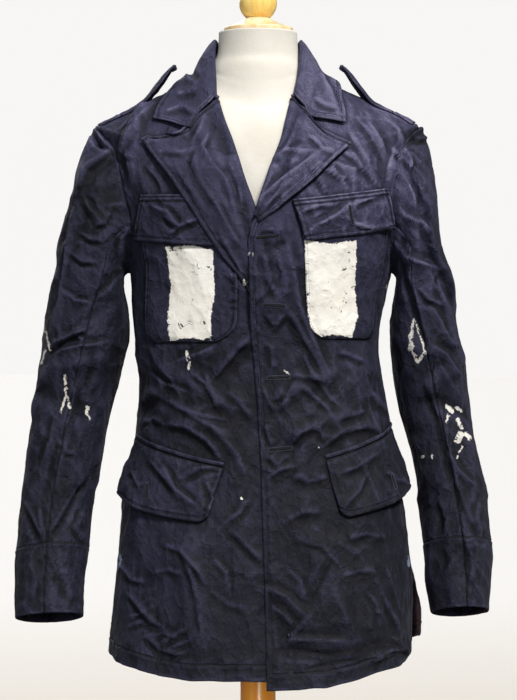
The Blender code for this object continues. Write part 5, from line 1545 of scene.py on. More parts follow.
def sleeve(name, left, upper, material):
    """The top or the under piece of a sleeve, between its front and back seams."""
    spacing = TOP_SLEEVE_SPACING if upper else UNDER_SLEEVE_SPACING
    width = TOP_SLEEVE_WIDTH if upper else UNDER_SLEEVE_WIDTH
    dense = np.linspace(0, len(LEFT_SLEEVE_ROWS) - 1, 900)
    run = run_along(sleeve_point(left, dense, np.full_like(dense, math.radians(60))))
    marks = (EDGE_MARK, run[-1] - CUFF_SEAM, run[-1] - EDGE_MARK)
    ring = np.interp(steps(run[-1], spacing, marks), run, dense)
    seam = sleeve_sections(left).at(ring)["seam"]
    if upper:
        start, stop = seam + SLEEVE_SEAM_HALF, 180 - seam - SLEEVE_SEAM_HALF
    else:
        start, stop = seam + SLEEVE_TUCK, -180 - seam - SLEEVE_TUCK
    share = shares(width, spacing, (EDGE_MARK, width - EDGE_MARK))
    degrees = start[:, None] + (stop - start)[:, None] * share[None, :]
    ring = np.repeat(ring[:, None], len(share), axis=1)
    grid = sleeve_point(left, ring, np.radians(degrees))
    allowance = [tucked(left, np.radians(degrees[0]), more, out) for more, out in TUCKS]
    grid = np.concatenate([np.stack(allowance), grid])
    ring = np.concatenate([ring[:2] * 0, ring])
    degrees = np.concatenate([degrees[:2], degrees])
    own = crumple(grid, 1.25) * smooth(ring / 0.8)
    if not upper:
        # The under sleeve's seam allowance runs on beneath the top sleeve.
        away = margins(grid)
        own = own - 0.0016 * bell(np.minimum(away["first"][0], away["last"][0]), 0.0030)
    height, crease_tone = sleeve_relief(grid, ring, degrees, left)
    edges = alike("first last", "seam", pucker=0.0006)
    edges["low"] = edge_of("seam", pucker=0.0014, reach=0.014)
    edges["high"] = edge_of("turned", CUFF_SEAM, pucker=0.0008, dip=0.0009)
    shell(name, grid, left != upper, material, edges, own=own + height, crest_tone=crease_tone,
          seed=12.1 + left + 2 * upper)


def lapel_grid(left):
    """Front-view places and distances out from the front: rolled round the edge, then flat."""
    table = np.array(LEFT_LAPEL_ROWS if left else RIGHT_LAPEL_ROWS)
    notch = np.array(NOTCH_LEFT if left else NOTCH_RIGHT)
    count = 18
    rows = Sections(ROLL_COLUMNS, table).at(np.linspace(0, len(table) - 1, count))
    roll = np.stack([rows["roll_x"], rows["z"]], axis=-1)
    edge = np.stack([rows["edge_x"], rows["edge_z"]], axis=-1)
    along = unit(np.gradient(roll, axis=0))
    square = np.stack([along[:, 1], -along[:, 0]], axis=-1)
    square *= np.sign((square * unit(edge - roll)).sum(axis=-1, keepdims=True))
    width = np.linalg.norm(edge - roll, axis=-1)
    corner = notch - (roll[0] + edge[0]) / 2
    places = [roll + square * off for off, _ in LAPEL_NOSE]
    outs = [np.full(count, out) for _, out in LAPEL_NOSE]
    for part in LAPEL_SHARES:
        place = roll + (edge - roll) * part
        if part < 1:
            bend = np.exp(-np.arange(count) / 1.4) * (1 - abs(2 * part - 1.15))
            place = place + bend[:, None] * corner
        high = rise(place[:, 1], 0.725, 0.775) if left else smooth(width / 0.03)
        places.append(place)
        lift = rise(width * part, 0.013, 0.026) * LAPEL_RISE
        outs.append(LAPEL_OUT + lift * (0.12 + 0.88 * high))
    return np.concatenate([np.stack(places, axis=1), np.stack(outs, axis=1)[..., None]], axis=-1)


def lapel(name, left, material):
    """The turned-back facing, rolled round the front's edge and lying on the front."""
    flat = lapel_grid(left)
    tall, wide = mean_length(flat[..., :2], 0), mean_length(flat, 1)
    flat = refined(flat, shares(tall, 0.0017, (0.004, tall)),
                   shares(wide, 0.0016, (0.004, wide, wide - 0.005)))
    if left:
        # The top edge runs level from the notch and drops to the tip.
        lift = np.interp(MIDDLE_U + flat[..., 0] / PIXEL, *LEFT_LAPEL_TOP) * PIXEL
        flat[..., 1] += lift * bell(margins(flat[..., :2])["low"][0], 0.016)
    grid = on_front(flat[..., 0], flat[..., 1], flat[..., 2], not left)
    height, crease_tone = creased(grid, LAPEL_CREASES)
    reach = smooth(margins(grid)["first"][0] / 0.012)
    edges = {
        "last": edge_of("turned", LAPEL_STITCH),
        "low": edge_of("turned", LAPEL_STITCH, start=0.35),
    }
    shell(name, grid, not left, material, edges, SHELL_TWO_PLY,
          own=(height + crumple(grid + 0.4, 0.45)) * reach, crest_tone=reach * crease_tone, seed=20.3 + left,
          lies_on_top=True)


def collar_half(rows):
    """Half the collar from centre back to its front end, from the stand's foot to its edge."""
    half = np.linspace(0, len(rows) - 1, 12)
    row = Sections(COLLAR_COLUMNS, rows).at(half)
    fold = np.stack([row["fold_x"], row["fold_y"], row["fold_z"]], axis=-1)
    base = plain_trunk(row["base_station"], np.radians(row["base_deg"]))
    inner = unit(np.stack([-fold[:, 0], -fold[:, 1], 0 * half], axis=-1))
    stand_top = fold + inner * 0.0030 + np.array([0, 0, -0.0030])
    end = rise(half, 5.0, 6.0)[:, None]
    foot = base + inner * 0.0006 + np.array([0, 0, 0.0008 + SEAM_GAP])
    foot = foot * (1 - end) + (stand_top + np.array([0, 0.0018, -0.0010])) * end
    fold_out = fold - inner * FOLD_WIDTH + np.array([0, 0, -0.0028])
    mid_angle, outer_angle = np.radians(row["mid_deg"]), np.radians(row["edge_deg"])
    mid = trunk(row["mid_station"], mid_angle, COLLAR_OUT)
    edge = trunk(row["edge_station"], outer_angle, COLLAR_EDGE_OUT)
    upper_out = trunk_normal(row["mid_station"], mid_angle) * COLLAR_BELLY
    lower_out = trunk_normal(row["edge_station"], outer_angle) * COLLAR_BELLY / 2
    return np.stack([foot, (foot + stand_top) / 2, stand_top, fold, fold_out,
                     (fold_out + mid) / 2 + upper_out, mid, (mid + edge) / 2 + lower_out, edge],
                    axis=1)


def collar(name, material):
    """The stand, the fold and the fall in one turned piece, from end to end round the neck."""
    left = collar_half(COLLAR_BACK_ROWS + COLLAR_LEFT_ROWS) * np.array([-1, 1, 1])
    grid = np.concatenate([left[::-1], collar_half(COLLAR_BACK_ROWS + COLLAR_RIGHT_ROWS)[1:]])
    long, wide = mean_length(grid, 0), mean_length(grid, 1)
    grid = refined(grid, shares(long, 0.0019, (0.0, long)),
                   shares(wide, 0.0018, (wide, wide - 0.006, 0.030)))
    facing = smooth((0.02 - grid[..., 1]) / 0.03)
    fall = rise(margins(grid)["first"][0], 0.040, 0.055)
    height, crease_tone = creased(grid, COLLAR_CREASES)
    edges = {"last": edge_of("turned", COLLAR_STITCH, pucker=0.0005)}
    edges |= alike("low high", "turned", COLLAR_STITCH, start=0.60)
    shell(name, grid, True, material, edges, SHELL_TWO_PLY,
          own=(height * facing + crumple(grid + 0.7, 0.45)) * fall, crest_tone=fall * facing * crease_tone,
          seed=24.9,
          lies_on_top=True)


def pocket(name, corners, left, material):
    """A patch pocket with rounded lower corners, a little full inside its stitches."""
    top_left, top_right, _, low_left = np.array(corners)
    rows = int(np.linalg.norm(top_left - low_left) / POCKET_SPACING)
    columns = int(np.linalg.norm(top_left - top_right) / POCKET_SPACING)
    grid = front_patch(corners, rows, columns, LAY_GAP + POCKET_CLOTH, left, POCKET_ROUNDING)
    away = margins(grid)
    rim = np.minimum(np.minimum(away["first"][0], away["last"][0]), away["high"][0])
    edges = alike("first last", "turned", POCKET_STITCH, pucker=0.0006)
    edges["high"] = edge_of("turned", POCKET_STITCH, pucker=0.0006, start=0.12, stop=0.88)
    edges["low"] = edge_of("turned")
    shell(name, grid, True, material, edges, seed=30.5 + left,
          own=0.0012 * smooth(rim / 0.02) + crumple(grid + 0.9, 0.30) * smooth(rim / 0.01),
          lies_on_top=True)


def chest_flap(name, corners, left, material):
    """A pointed flap over a chest pocket, with two rows of stitches at its foot."""
    rows, columns = 46, 80
    down = np.linspace(0, 1, rows)[:, None]
    out = 2 * LAY_GAP + POCKET_CLOTH + CHEST_FLAP_CLOTH + 0.0006 * down
    grid = front_patch(corners, rows, columns, out, left)
    height, crease_tone = creased(grid, FLAP_CREASES)
    edges = alike("first last", "turned", FLAP_STITCH, pucker=0.0005)
    edges["high"] = edge_of("turned", FLAP_STITCH, pucker=0.0006)
    edges["low"] = edge_of("turned", *FLAP_FOOT_STITCHES, pucker=0.0005)
    shell(name, grid, True, material, edges, SHELL_TWO_PLY, crest_tone=crease_tone, seed=34.5 + left,
          own=height + crumple(grid + 0.2, 0.5) + 0.0012 * down,
          lies_on_top=True)


def hip_flap(name, table, left, material):
    """A hip pocket's flap, which flares off the skirt towards its lower outer corner."""
    rows, columns = 62, 76
    angle, z = hip_grid(table, 0.0, 1.0, rows, columns)
    down = np.linspace(0, 1, rows)[:, None]
    outer = np.linspace(0, 1, columns)[None, :]
    flare = FLAP_FLARE[0] if left else FLAP_FLARE[1]
    out = HIP_GAP + TWO_PLY + flare * (0.2 + 0.8 * outer ** 2) * smooth(down)
    side = margins(at_height(angle, z, out, not left))["first"][0]
    lift = FLAP_ROUND_RISE * FLAP_ROUND * np.clip(1 - side / FLAP_ROUND, 0, 1) ** 2
    z = z + lift * np.clip((down - 0.45) / 0.55, 0, 1)
    grid = at_height(angle, z, out, not left)
    height, crease_tone = creased(grid, FLAP_CREASES)
    edges = alike("first last high", "turned", HIP_FLAP_STITCH, pucker=0.0006)
    edges["low"] = edge_of("seam")
    shell(name, grid, not left, material, edges, SHELL_TWO_PLY, crest_tone=crease_tone, seed=38.5 + left,
          own=(height + crumple(grid + 0.5, 0.6)) * smooth(down / 0.12),
          lies_on_top=True)


def hip_welt(name, table, left, material):
    """The piped edge of a hip pocket, just above its flap."""
    height = WELT_HEIGHT / (table[0][1] - table[0][3])
    angle, z = hip_grid(table, -WELT_LIFT - 0.58 * height, -WELT_LIFT, 7, 90)
    grid = at_height(angle, z, HIP_GAP + TWO_PLY, not left)
    edges = alike("low high", "turned", pucker=0.0002) | alike("first last", "turned")
    shell(name, grid, not left, material, edges, SHELL_TWO_PLY, own=crumple(grid + 0.1, 0.25),
          seed=41.5 + left, lies_on_top=True)


def strap(name, left, material):
    """Sewn in at the armhole, flat on the shoulder, then rising to a loose rounded end."""
    x = np.linspace(*STRAP_LENGTH_X, 60)
    tip = 1 - 0.35 * smooth((0.125 - x) / 0.02)
    lift = STRAP_RISE * rise(-x, -STRAP_LIE_END, -STRAP_LENGTH_X[1])
    station = station_for_x(x)
    columns = []
    for across in np.linspace(-1, 1, 26):
        y = across * STRAP_HALF_WIDTH * tip
        turn = np.arcsin(np.clip(y / TRUNK.at(station)["front_depth"], -1, 1))
        over = trunk(station, LEFT_SIDE - turn if left else turn, STRAP_GAP + TWO_PLY)
        columns.append(over + np.stack([0 * x, 0 * x, lift], axis=-1))
    grid = np.stack(columns, axis=1)
    edges = alike("first last high", "turned", STRAP_STITCH)
    edges["low"] = edge_of("seam", STRAP_FOOT_STITCH)
    shell(name, grid, left, material, edges, SHELL_TWO_PLY, own=crumple(grid + 0.6, 0.3),
          seed=44.5 + left)


class Shader:
    """A material whose nodes are made one expression at a time."""

    def __init__(self, name):
        self.material = bpy.data.materials.new(name)
        self.material.use_nodes = True
        self.tree = self.material.node_tree
        self.surface = self.tree.nodes["Principled BSDF"]

    def node(self, kind, **settings):
        node = self.tree.nodes.new(kind)
        for key, value in settings.items():
            setattr(node, key, value)
        return node

    def put(self, socket, value):
        """Links a socket, or sets its value; None leaves it as it is."""
        if isinstance(value, bpy.types.NodeSocket):
            self.tree.links.new(value, socket)
        elif value is not None:
            socket.default_value = value

    def calc(self, operation, a, b=None, clamp=False):
        node = self.node("ShaderNodeMath", operation=operation, use_clamp=clamp)
        self.put(node.inputs[0], a)
        self.put(node.inputs[1], b)
        return node.outputs[0]

    def plus(self, first, *others):
        for other in others:
            first = self.calc("ADD", first, other)
        return first

    def times(self, first, *others):
        for other in others:
            first = self.calc("MULTIPLY", first, other)
        return first

    def centred(self, value, amount):
        """Noise between 0 and 1 as a change either way."""
        return self.times(self.calc("SUBTRACT", value, 0.5), amount)

    def vector(self, operation, *values):
        """A vector operation on sockets and fixed vectors."""
        node = self.node("ShaderNodeVectorMath", operation=operation)
        for socket, value in zip(node.inputs, values):
            self.put(socket, value)
        return node.outputs["Value" if operation in ("DOT_PRODUCT", "DISTANCE") else "Vector"]

    def ramp(self, value, low, high, smooth_steps=True):
        node = self.node("ShaderNodeMapRange",
                         interpolation_type="SMOOTHSTEP" if smooth_steps else "LINEAR")
        self.put(node.inputs["Value"], value)
        node.inputs["From Min"].default_value = low
        node.inputs["From Max"].default_value = high
        return node.outputs[0]

    def mix(self, share, a, b):
        node = self.node("ShaderNodeMix", data_type="RGBA")
        self.put(node.inputs[0], share)
        self.put(node.inputs[6], (*a, 1.0) if isinstance(a, tuple) else a)
        self.put(node.inputs[7], (*b, 1.0) if isinstance(b, tuple) else b)
        return node.outputs[2]

    def attribute(self, name):
        return self.node("ShaderNodeAttribute", attribute_name=name).outputs["Fac"]

    def uv(self, name):
        return self.node("ShaderNodeUVMap", uv_map=name).outputs["UV"]

    def noise(self, vector, scale, detail=2.0, rough=0.5, distortion=0.0, stretch=None,
              output="Fac"):
        if stretch:
            mapping = self.node("ShaderNodeMapping")
            mapping.inputs["Scale"].default_value = stretch
            self.put(mapping.inputs["Vector"], vector)
            vector = mapping.outputs[0]
        node = self.node("ShaderNodeTexNoise")
        self.put(node.inputs["Vector"], vector)
        for key, value in (("Scale", scale), ("Detail", detail), ("Roughness", rough),
                           ("Distortion", distortion)):
            node.inputs[key].default_value = value
        return node.outputs[output]

    def cells(self, vector, scale, warp):
        """Soft troughs between sharp irregular ridges."""
        shift = self.node("ShaderNodeCombineXYZ")
        for socket, amount in zip(shift.inputs, (0.020, -0.012, 0.014)):
            self.put(socket, self.times(warp, amount))
        node = self.node("ShaderNodeTexVoronoi", feature="F1")
        node.inputs["Scale"].default_value = scale
        self.put(node.inputs["Vector"],
                 self.vector("MULTIPLY_ADD", vector, (1.0, 1.0, CRUMPLE_SLANT), shift.outputs[0]))
        return self.times(node.outputs["Distance"], node.outputs["Distance"])

    def bump(self, height, distance, strength=1.0, under=None):
        node = self.node("ShaderNodeBump")
        node.inputs["Strength"].default_value = strength
        node.inputs["Distance"].default_value = distance
        self.put(node.inputs["Height"], height)
        self.put(node.inputs["Normal"], under)
        return node.outputs["Normal"]

    def here(self):
        return self.node("ShaderNodeTexCoord").outputs["Object"]

    def finish(self, colour, roughness, normal=None, **settings):
        self.put(self.surface.inputs["Base Color"],
                 (*colour, 1.0) if isinstance(colour, tuple) else colour)
        self.put(self.surface.inputs["Roughness"], roughness)
        self.put(self.surface.inputs["Normal"], normal)
        for key, value in settings.items():
            self.surface.inputs[key.replace("_", " ")].default_value = value
        return self.material


def srgb(red, green, blue):
    return tuple(((c / 255 + 0.055) / 1.055) ** 2.4 if c > 10 else c / 3295
                 for c in (red, green, blue))


# Stains and marks on the cloth, as seen: a from u, v to u, v and a radius in pixels.
PALE_STAINS = (
    ((41, 322), (46, 334), 1.4), ((46, 334), (50, 350), 1.2), ((45, 350), (41, 364), 1.0),
    ((65, 376), (66, 394), 1.6), ((66, 394), (61, 412), 1.2), ((66, 394), (70, 407), 1.1),
    ((88, 407), (86, 414), 1.6), ((86, 414), (90, 419), 1.0),
    ((187, 352), (189, 360), 1.7), ((190, 362), (188, 369), 1.2),
    ((414, 319), (411, 336), 1.2), ((411, 336), (411, 350), 2.4), ((411, 350), (418, 362), 1.9),
    ((418, 362), (425, 352), 1.7), ((425, 352), (421, 338), 1.1), ((421, 338), (415, 320), 0.9),
    ((447, 406), (452, 411), 2.4), ((457, 408), (461, 411), 1.8), ((458, 420), (462, 428), 2.0),
    ((461, 435), (458, 440), 3.4), ((466, 434), (469, 438), 2.4), ((462, 446), (457, 458), 0.9),
    ((448, 416), (446, 422), 1.4), ((432, 455), (432, 457), 1.3), ((422, 455), (423, 457), 1.1),
    ((388, 286), (388, 294), 1.7),
    ((244, 281), (244, 284), 1.6), ((249, 253), (249, 255), 1.0), ((129, 296), (129, 297), 1.2),
    ((241, 498), (241, 499), 1.0), ((285, 371), (287, 373), 1.0), ((318, 447), (319, 448), 0.9),
)
BLUE_MARKS = (
    ((118, 553), (121, 560), 1.5), ((121, 560), (117, 568), 1.3), ((409, 556), (409, 566), 1.2),
)


def line_distance(shader, place, a, b, radius):
    """Signed distance from a short stroke, as nodes, in hundreds of pixels like the place map."""
    (au, av), (bu, bv) = [(u / 100, v / 100) for u, v in (a, b)]
    du, dv = bu - au, bv - av
    length2 = du * du + dv * dv
    off = shader.vector("SUBTRACT", place, (au, av, 0))
    dot = shader.vector("DOT_PRODUCT", off, (du / length2, dv / length2, 0))
    run = shader.node("ShaderNodeVectorMath", operation="SCALE")
    run.inputs[0].default_value = (du, dv, 0)
    shader.put(run.inputs["Scale"], shader.calc("ADD", dot, 0.0, clamp=True))
    return shader.calc("SUBTRACT", shader.vector("DISTANCE", off, run.outputs[0]), radius / 100)


def marks_mask(shader, place, rows, rough, broken):
    """Ragged, broken splashes along the given strokes, on cloth that faces the front."""
    drift = shader.noise(shader.here(), 130.0, output="Color")
    centred = shader.vector("ADD", place, (-DRIFT / 2, -DRIFT / 2, 0))
    bent = shader.vector("MULTIPLY_ADD", drift, (DRIFT, DRIFT, 0), centred)
    nearest = None
    for a, b, radius in rows:
        distance = line_distance(shader, bent, a, b, radius)
        nearest = distance if nearest is None else shader.calc("MINIMUM", nearest, distance)
    ragged = shader.plus(nearest, shader.centred(rough, 0.045))
    return shader.times(shader.ramp(ragged, 0.002, -0.006), shader.ramp(broken, 0.38, 0.44),
                        shader.attribute("facing"))


def weave_normal(shader, here, warp):
    """Crumple too small for the mesh, coarse to fine, then the twill's diagonal ribs."""
    normal = shader.bump(shader.noise(here, 75.0, 4.0, 0.6, 0.3), 0.0022, 0.6)
    for scale, strength, distance in ((34.0, 0.9, 0.0055), (80.0, 0.9, 0.0022),
                                      (150.0, 0.8, 0.0007)):
        normal = shader.bump(shader.cells(here, scale, warp), distance, strength, normal)
    normal = shader.bump(shader.noise(here, 330.0, 3.0, 0.7), 0.0004, 0.45, normal)
    ribs = shader.node("ShaderNodeTexWave", bands_direction="DIAGONAL")
    shader.put(ribs.inputs["Vector"], shader.uv("weave"))
    for key, value in (("Scale", 330.0), ("Distortion", 1.2), ("Detail", 1.0),
                       ("Detail Scale", 1.5)):
        ribs.inputs[key].default_value = value
    return shader.bump(ribs.outputs["Fac"], 0.00022, 0.5, normal)


def worn_paint(shader, here):
    """How much white paint covers the cloth: ragged at its edges, chipped and rubbed thin."""
    ragged = shader.plus(shader.attribute("paint"),
                         shader.centred(shader.noise(here, 150.0, 5.0, 0.7), 7.0))
    chips = shader.ramp(shader.noise(here, 62.0, 6.0, 0.72, 0.6), 0.355, 0.40)
    thin = shader.ramp(shader.noise(here, 420.0, 3.0, 0.7), 0.30, 0.42)
    return shader.times(shader.ramp(ragged, -0.3, 0.5), chips,
                        shader.plus(shader.times(thin, 0.16), 0.84), shader.attribute("facing"))


def twill(name, painted=False):
    """Worn navy twill with painted light and shade in its fading, crests, edges and hollows, stains
    and, where painted, the white blocks.
    """
    shader = Shader(name)
    here, place = shader.here(), shader.uv("place")
    broad = shader.noise(here, 9.0, 3.0, 0.55)
    middle = shader.noise(here, 42.0, 4.0, 0.6, 0.4)
    crest = shader.attribute("crest")
    # Turned edges rubbed pale: wear and painted highlight.
    edge_rim_tone = shader.times(shader.attribute("edge"), shader.ramp(middle, 0.15, 0.6))
    # Fading, noise and rubbed crests and edges, with painted light and shade in them.
    wear_and_light = shader.plus(shader.attribute("fade"), shader.centred(broad, 0.34),
                       shader.centred(middle, 0.30),
                       shader.times(crest, shader.plus(middle, 0.1), 0.58),
                       shader.times(edge_rim_tone, 0.36),
                       shader.centred(shader.noise(here, 260.0, 3.0, 0.65), 0.22),
                       shader.centred(shader.noise(here, 560.0, 2.0, 0.8), 0.80))
    dark = shader.mix(shader.calc("MULTIPLY", wear_and_light, 1.0, clamp=True), DEEP_NAVY, MID_NAVY)
    colour = shader.mix(shader.ramp(wear_and_light, 0.75, 1.5, False), dark, PALE_NAVY)
    # Painted shade in the hollows.
    hollow_shade = shader.ramp(crest, 0.10, -0.65)
    colour = shader.mix(shader.times(hollow_shade, 0.40), colour, HOLLOW_SHADE_NAVY)
    spatter = shader.noise(here, 520.0, 4.0, 0.75)
    broken = shader.noise(here, 240.0, 3.0, 0.6)
    pale = marks_mask(shader, place, PALE_STAINS, spatter, broken)
    colour = shader.mix(shader.times(pale, 0.92), colour, srgb(222, 218, 210))
    blue = marks_mask(shader, place, BLUE_MARKS, middle, 1.0)
    colour = shader.mix(shader.times(blue, 0.7), colour, srgb(150, 170, 200))
    normal = weave_normal(shader, here, middle)
    roughness = 0.70
    if painted:
        paint = worn_paint(shader, here)
        white = shader.mix(shader.ramp(broad, 0.3, 0.7), srgb(234, 229, 219), srgb(250, 247, 240))
        colour = shader.mix(paint, colour, white)
        roughness = shader.calc("SUBTRACT", 0.70, shader.times(paint, 0.15))
        blend = shader.node("ShaderNodeMix", data_type="VECTOR")
        shader.put(blend.inputs[0], shader.times(paint, 0.6))
        shader.put(blend.inputs[4], normal)
        shader.put(blend.inputs[5], shader.bump(shader.noise(here, 60.0, 3.0, 0.5), 0.0016, 0.4))
        normal = shader.bump(paint, 0.0004, 0.8, blend.outputs[1])
    return shader.finish(colour, roughness, normal, Sheen_Weight=0.04, Sheen_Roughness=0.35,
                         Sheen_Tint=(0.7, 0.7, 0.95, 1.0), Specular_IOR_Level=0.14)


def thread(name, colour):
    """Sewing thread, uneven in tone."""
    shader = Shader(name)
    tone = shader.noise(shader.here(), 160.0, 2.0)
    mixed = shader.mix(shader.ramp(tone, 0.3, 0.7), tuple(c * 0.7 for c in colour), colour)
    return shader.finish(mixed, 0.62, None, Specular_IOR_Level=0.4)


def jersey(name):
    """The form's knitted cotton cover."""
    shader = Shader(name)
    here = shader.here()
    broad = shader.noise(here, 14.0, 3.0, 0.6)
    colour = shader.mix(shader.ramp(broad, 0.3, 0.7), srgb(219, 215, 206), srgb(209, 204, 193))
    knit = shader.noise(here, 900.0, 1.0, 0.5, 0.0, (1.0, 1.0, 0.45))
    ground = shader.bump(shader.noise(here, 60.0, 3.0, 0.6), 0.0012, 0.35)
    normal = shader.bump(knit, 0.0004, 0.5, ground)
    return shader.finish(colour, 0.82, normal, Sheen_Weight=0.15, Sheen_Roughness=0.4,
                         Specular_IOR_Level=0.25)


def wood(name, light, dark, roughness):
    """Varnished turned wood, its grain drawn out along the axis."""
    shader = Shader(name)
    here = shader.here()
    grain = shader.noise(here, 3.2, 6.0, 0.62, 1.6, (14.0, 14.0, 1.1))
    pores = shader.noise(here, 8.0, 3.0, 0.7, 0.2, (60.0, 60.0, 3.0))
    colour = shader.mix(shader.ramp(grain, 0.32, 0.68), dark, light)
    colour = shader.mix(shader.times(shader.ramp(pores, 0.56, 0.72), 0.35), colour, dark)
    return shader.finish(colour, roughness, shader.bump(pores, 0.0005, 0.25), Coat_Weight=0.25,
                         Coat_Roughness=0.22, Specular_IOR_Level=0.45)


def plain_mesh(name, points, faces, material, node, slot):
    """A smooth-shaded piece from points and faces, in place of its solid."""
    mesh = bpy.data.meshes.new(name)
    mesh.from_pydata([tuple(map(float, p)) for p in points], [], faces)
    mesh.polygons.foreach_set("use_smooth", [True] * len(mesh.polygons))
    mesh.update()
    obj = bpy.data.objects.new(name, mesh)
    scene.collection.objects.link(obj)
    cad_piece(obj, material, node)


def band(low, high, count):
    """The faces between two rings of points, given where each ring starts."""
    return [(low + i, low + (i + 1) % count, high + (i + 1) % count, high + i)
            for i in range(count)]


def loft(rings):
    """Points and faces of a closed solid through rings of points, all with the same count."""
    count = len(rings[0])
    points = np.concatenate([np.concatenate(rings), [rings[0].mean(axis=0)],
                             [rings[-1].mean(axis=0)]])
    faces = []
    for low in range(len(rings) - 1):
        faces += band(low * count, (low + 1) * count, count)
    last = (len(rings) - 1) * count
    for i in range(count):
        j = (i + 1) % count
        faces.append((len(points) - 2, j, i))
        faces.append((len(points) - 1, last + i, last + j))
    return points, faces


def torso(material):
    """The dress form, smooth, with the seam of its neck cover."""
    angle = np.radians(np.arange(132) * 360 / 132 - 180)
    rings = []
    for level, gap in FORM_CLEARANCE:
        station = np.full_like(angle, level)
        rings.append(plain_trunk(station, angle) - trunk_normal(station, angle) * (CLOTH + gap))
    for z, half_width, half_depth, middle in FORM_NECK:
        rings.append(np.stack([half_width * np.cos(angle), middle + half_depth * np.sin(angle),
                               np.full_like(angle, z)], axis=-1))
    rings[0][:, 2] = FORM_BOTTOM
    levels = np.concatenate([np.linspace(0, 0.84, 56)[:-1], np.linspace(0.84, 1, 60)])
    fine = hermite(np.stack(rings), levels)
    for _ in range(16):
        eased = (fine[:-2] + 2 * fine[1:-1] + fine[2:]) / 4
        keep = rise(fine[1:-1, :, 2:], 0.985, 1.005)
        fine[1:-1] = eased * (1 - keep) + fine[1:-1] * keep
    low = NECK_SEAM_Z + NECK_SEAM_RISE * (fine[..., 0] / 0.05) ** 2
    groove = bell(fine[..., 2] - low, 0.0016) * smooth(-fine[..., 1] / 0.01)
    outward = fine - fine.mean(axis=1, keepdims=True)
    outward[..., 2] = 0
    fine = fine - unit(outward) * (0.0011 * groove)[..., None]
    plain_mesh("form_torso_cover", *loft(fine), material, "form_torso", "cream_jersey")


def rounded(profile, radius):
    """A turned profile with its corners eased."""
    profile = [np.array(p) for p in profile]
    eased = [profile[0]]
    for before, here, after in zip(profile, profile[1:], profile[2:]):
        a, b = before - here, after - here
        la, lb = np.linalg.norm(a), np.linalg.norm(b)
        reach = min(radius, 0.45 * la, 0.45 * lb)
        p, q = here + a / la * reach, here + b / lb * reach
        for t in np.linspace(0, 1, 5):
            eased.append(p * (1 - t) ** 2 + 2 * here * t * (1 - t) + q * t ** 2)
    eased.append(profile[-1])
    return eased


def turned(name, profile, material, node, slot, radius=0.0012):
    """A turned piece: its profile with eased corners, run round the axis."""
    angle = np.linspace(0, 2 * math.pi, 96, endpoint=False)
    rings = [np.stack([r * np.cos(angle), r * np.sin(angle), 0 * angle + z], axis=-1)
             for r, z in rounded(profile, radius)[1:-1]]
    plain_mesh(name, *loft(rings), material, node, slot)


class Threads:
    """Short rounded threads, gathered one or many at a time and made into one piece."""

    SIDES = 5
    SECTIONS = ((-0.5, 0.35), (0.0, 1.0), (0.5, 0.35))   # share of length, share of radius

    def __init__(self):
        self.rows = []

    def add(self, centre, way, up, length):
        centre, way, up = [np.atleast_2d(value) for value in (centre, way, up)]
        lengths = np.broadcast_to(length, len(centre))
        self.rows.append(np.column_stack([centre, way, up, lengths]))

    def piece(self, name, radius, material):
        rows = np.concatenate(self.rows)
        turn = np.arange(self.SIDES) * 2 * math.pi / self.SIDES
        template = np.array([(x, r * math.cos(t), r * math.sin(t))
                             for x, r in self.SECTIONS for t in turn])
        faces = band(0, self.SIDES, self.SIDES) + band(self.SIDES, 2 * self.SIDES, self.SIDES)
        faces.append(tuple(range(self.SIDES))[::-1])
        faces.append(tuple(range(2 * self.SIDES, 3 * self.SIDES)))
        ways = unit(rows[:, 3:6])
        across = unit(np.cross(rows[:, 6:9], ways))
        ups = np.cross(ways, across)
        along, aside, above = [template[None, :, k:k + 1] for k in range(3)]
        points = (rows[:, None, :3] + ways[:, None] * (along * rows[:, None, 9:])
                  + across[:, None] * aside * radius + ups[:, None] * above * radius * 0.8)
        all_faces = [tuple(i + k * len(template) for i in face)
                     for k in range(len(rows)) for face in faces]
        plain_mesh(name, points.reshape(-1, 3), all_faces, material, None, "navy_twill")


def stitches(material):
    """Rows of machine stitches, a few of them missing."""
    threads = Threads()
    rng = np.random.RandomState(5)
    for line, normals in STITCH_LINES:
        run = run_along(line)
        places = np.arange(STITCH_PITCH, run[-1] - STITCH_PITCH / 2, STITCH_PITCH)
        if len(places) < 2:
            continue
        here, ahead, normal = [
            np.stack([np.interp(at, run, values[:, k]) for k in range(3)], axis=-1)
            for at, values in ((places, line), (places + 0.001, line), (places, normals))]
        normal = unit(normal)
        way = ahead - here
        way += rng.normal(0, 0.00006, way.shape)
        keep = rng.rand(len(places)) > 0.05
        lengths = STITCH_LENGTH * rng.uniform(0.85, 1.1, len(places))
        threads.add((here + normal * STITCH_LIFT)[keep], way[keep], normal[keep], lengths[keep])
    threads.piece("seam_stitches", STITCH_RADIUS, material)


def on_shell(grid, outward, u, v):
    """The point and the outward direction of a shell that the camera sees at a pixel."""
    us, vs = seen(grid)
    i, j = np.unravel_index(np.argmin((us - u) ** 2 + (vs - v) ** 2), us.shape)
    i = int(np.clip(i, 1, us.shape[0] - 2))
    j = int(np.clip(j, 1, us.shape[1] - 2))
    jacobian = np.array([[(us[i + 1, j] - us[i - 1, j]) / 2, (us[i, j + 1] - us[i, j - 1]) / 2],
                         [(vs[i + 1, j] - vs[i - 1, j]) / 2, (vs[i, j + 1] - vs[i, j - 1]) / 2]])
    di, dj = np.linalg.solve(jacobian, np.array([u - us[i, j], v - vs[i, j]]))
    point = (grid[i, j] + di * (grid[i + 1, j] - grid[i - 1, j]) / 2
             + dj * (grid[i, j + 1] - grid[i, j - 1]) / 2)
    return point, outward[i, j]


def slit_point(name, start, stop, share):
    """A point of a buttonhole's slit, at a share of its length, and the outward direction."""
    return on_shell(*SHELLS[name], start[0] * (1 - share) + stop[0] * share,
                    start[1] * (1 - share) + stop[1] * share)


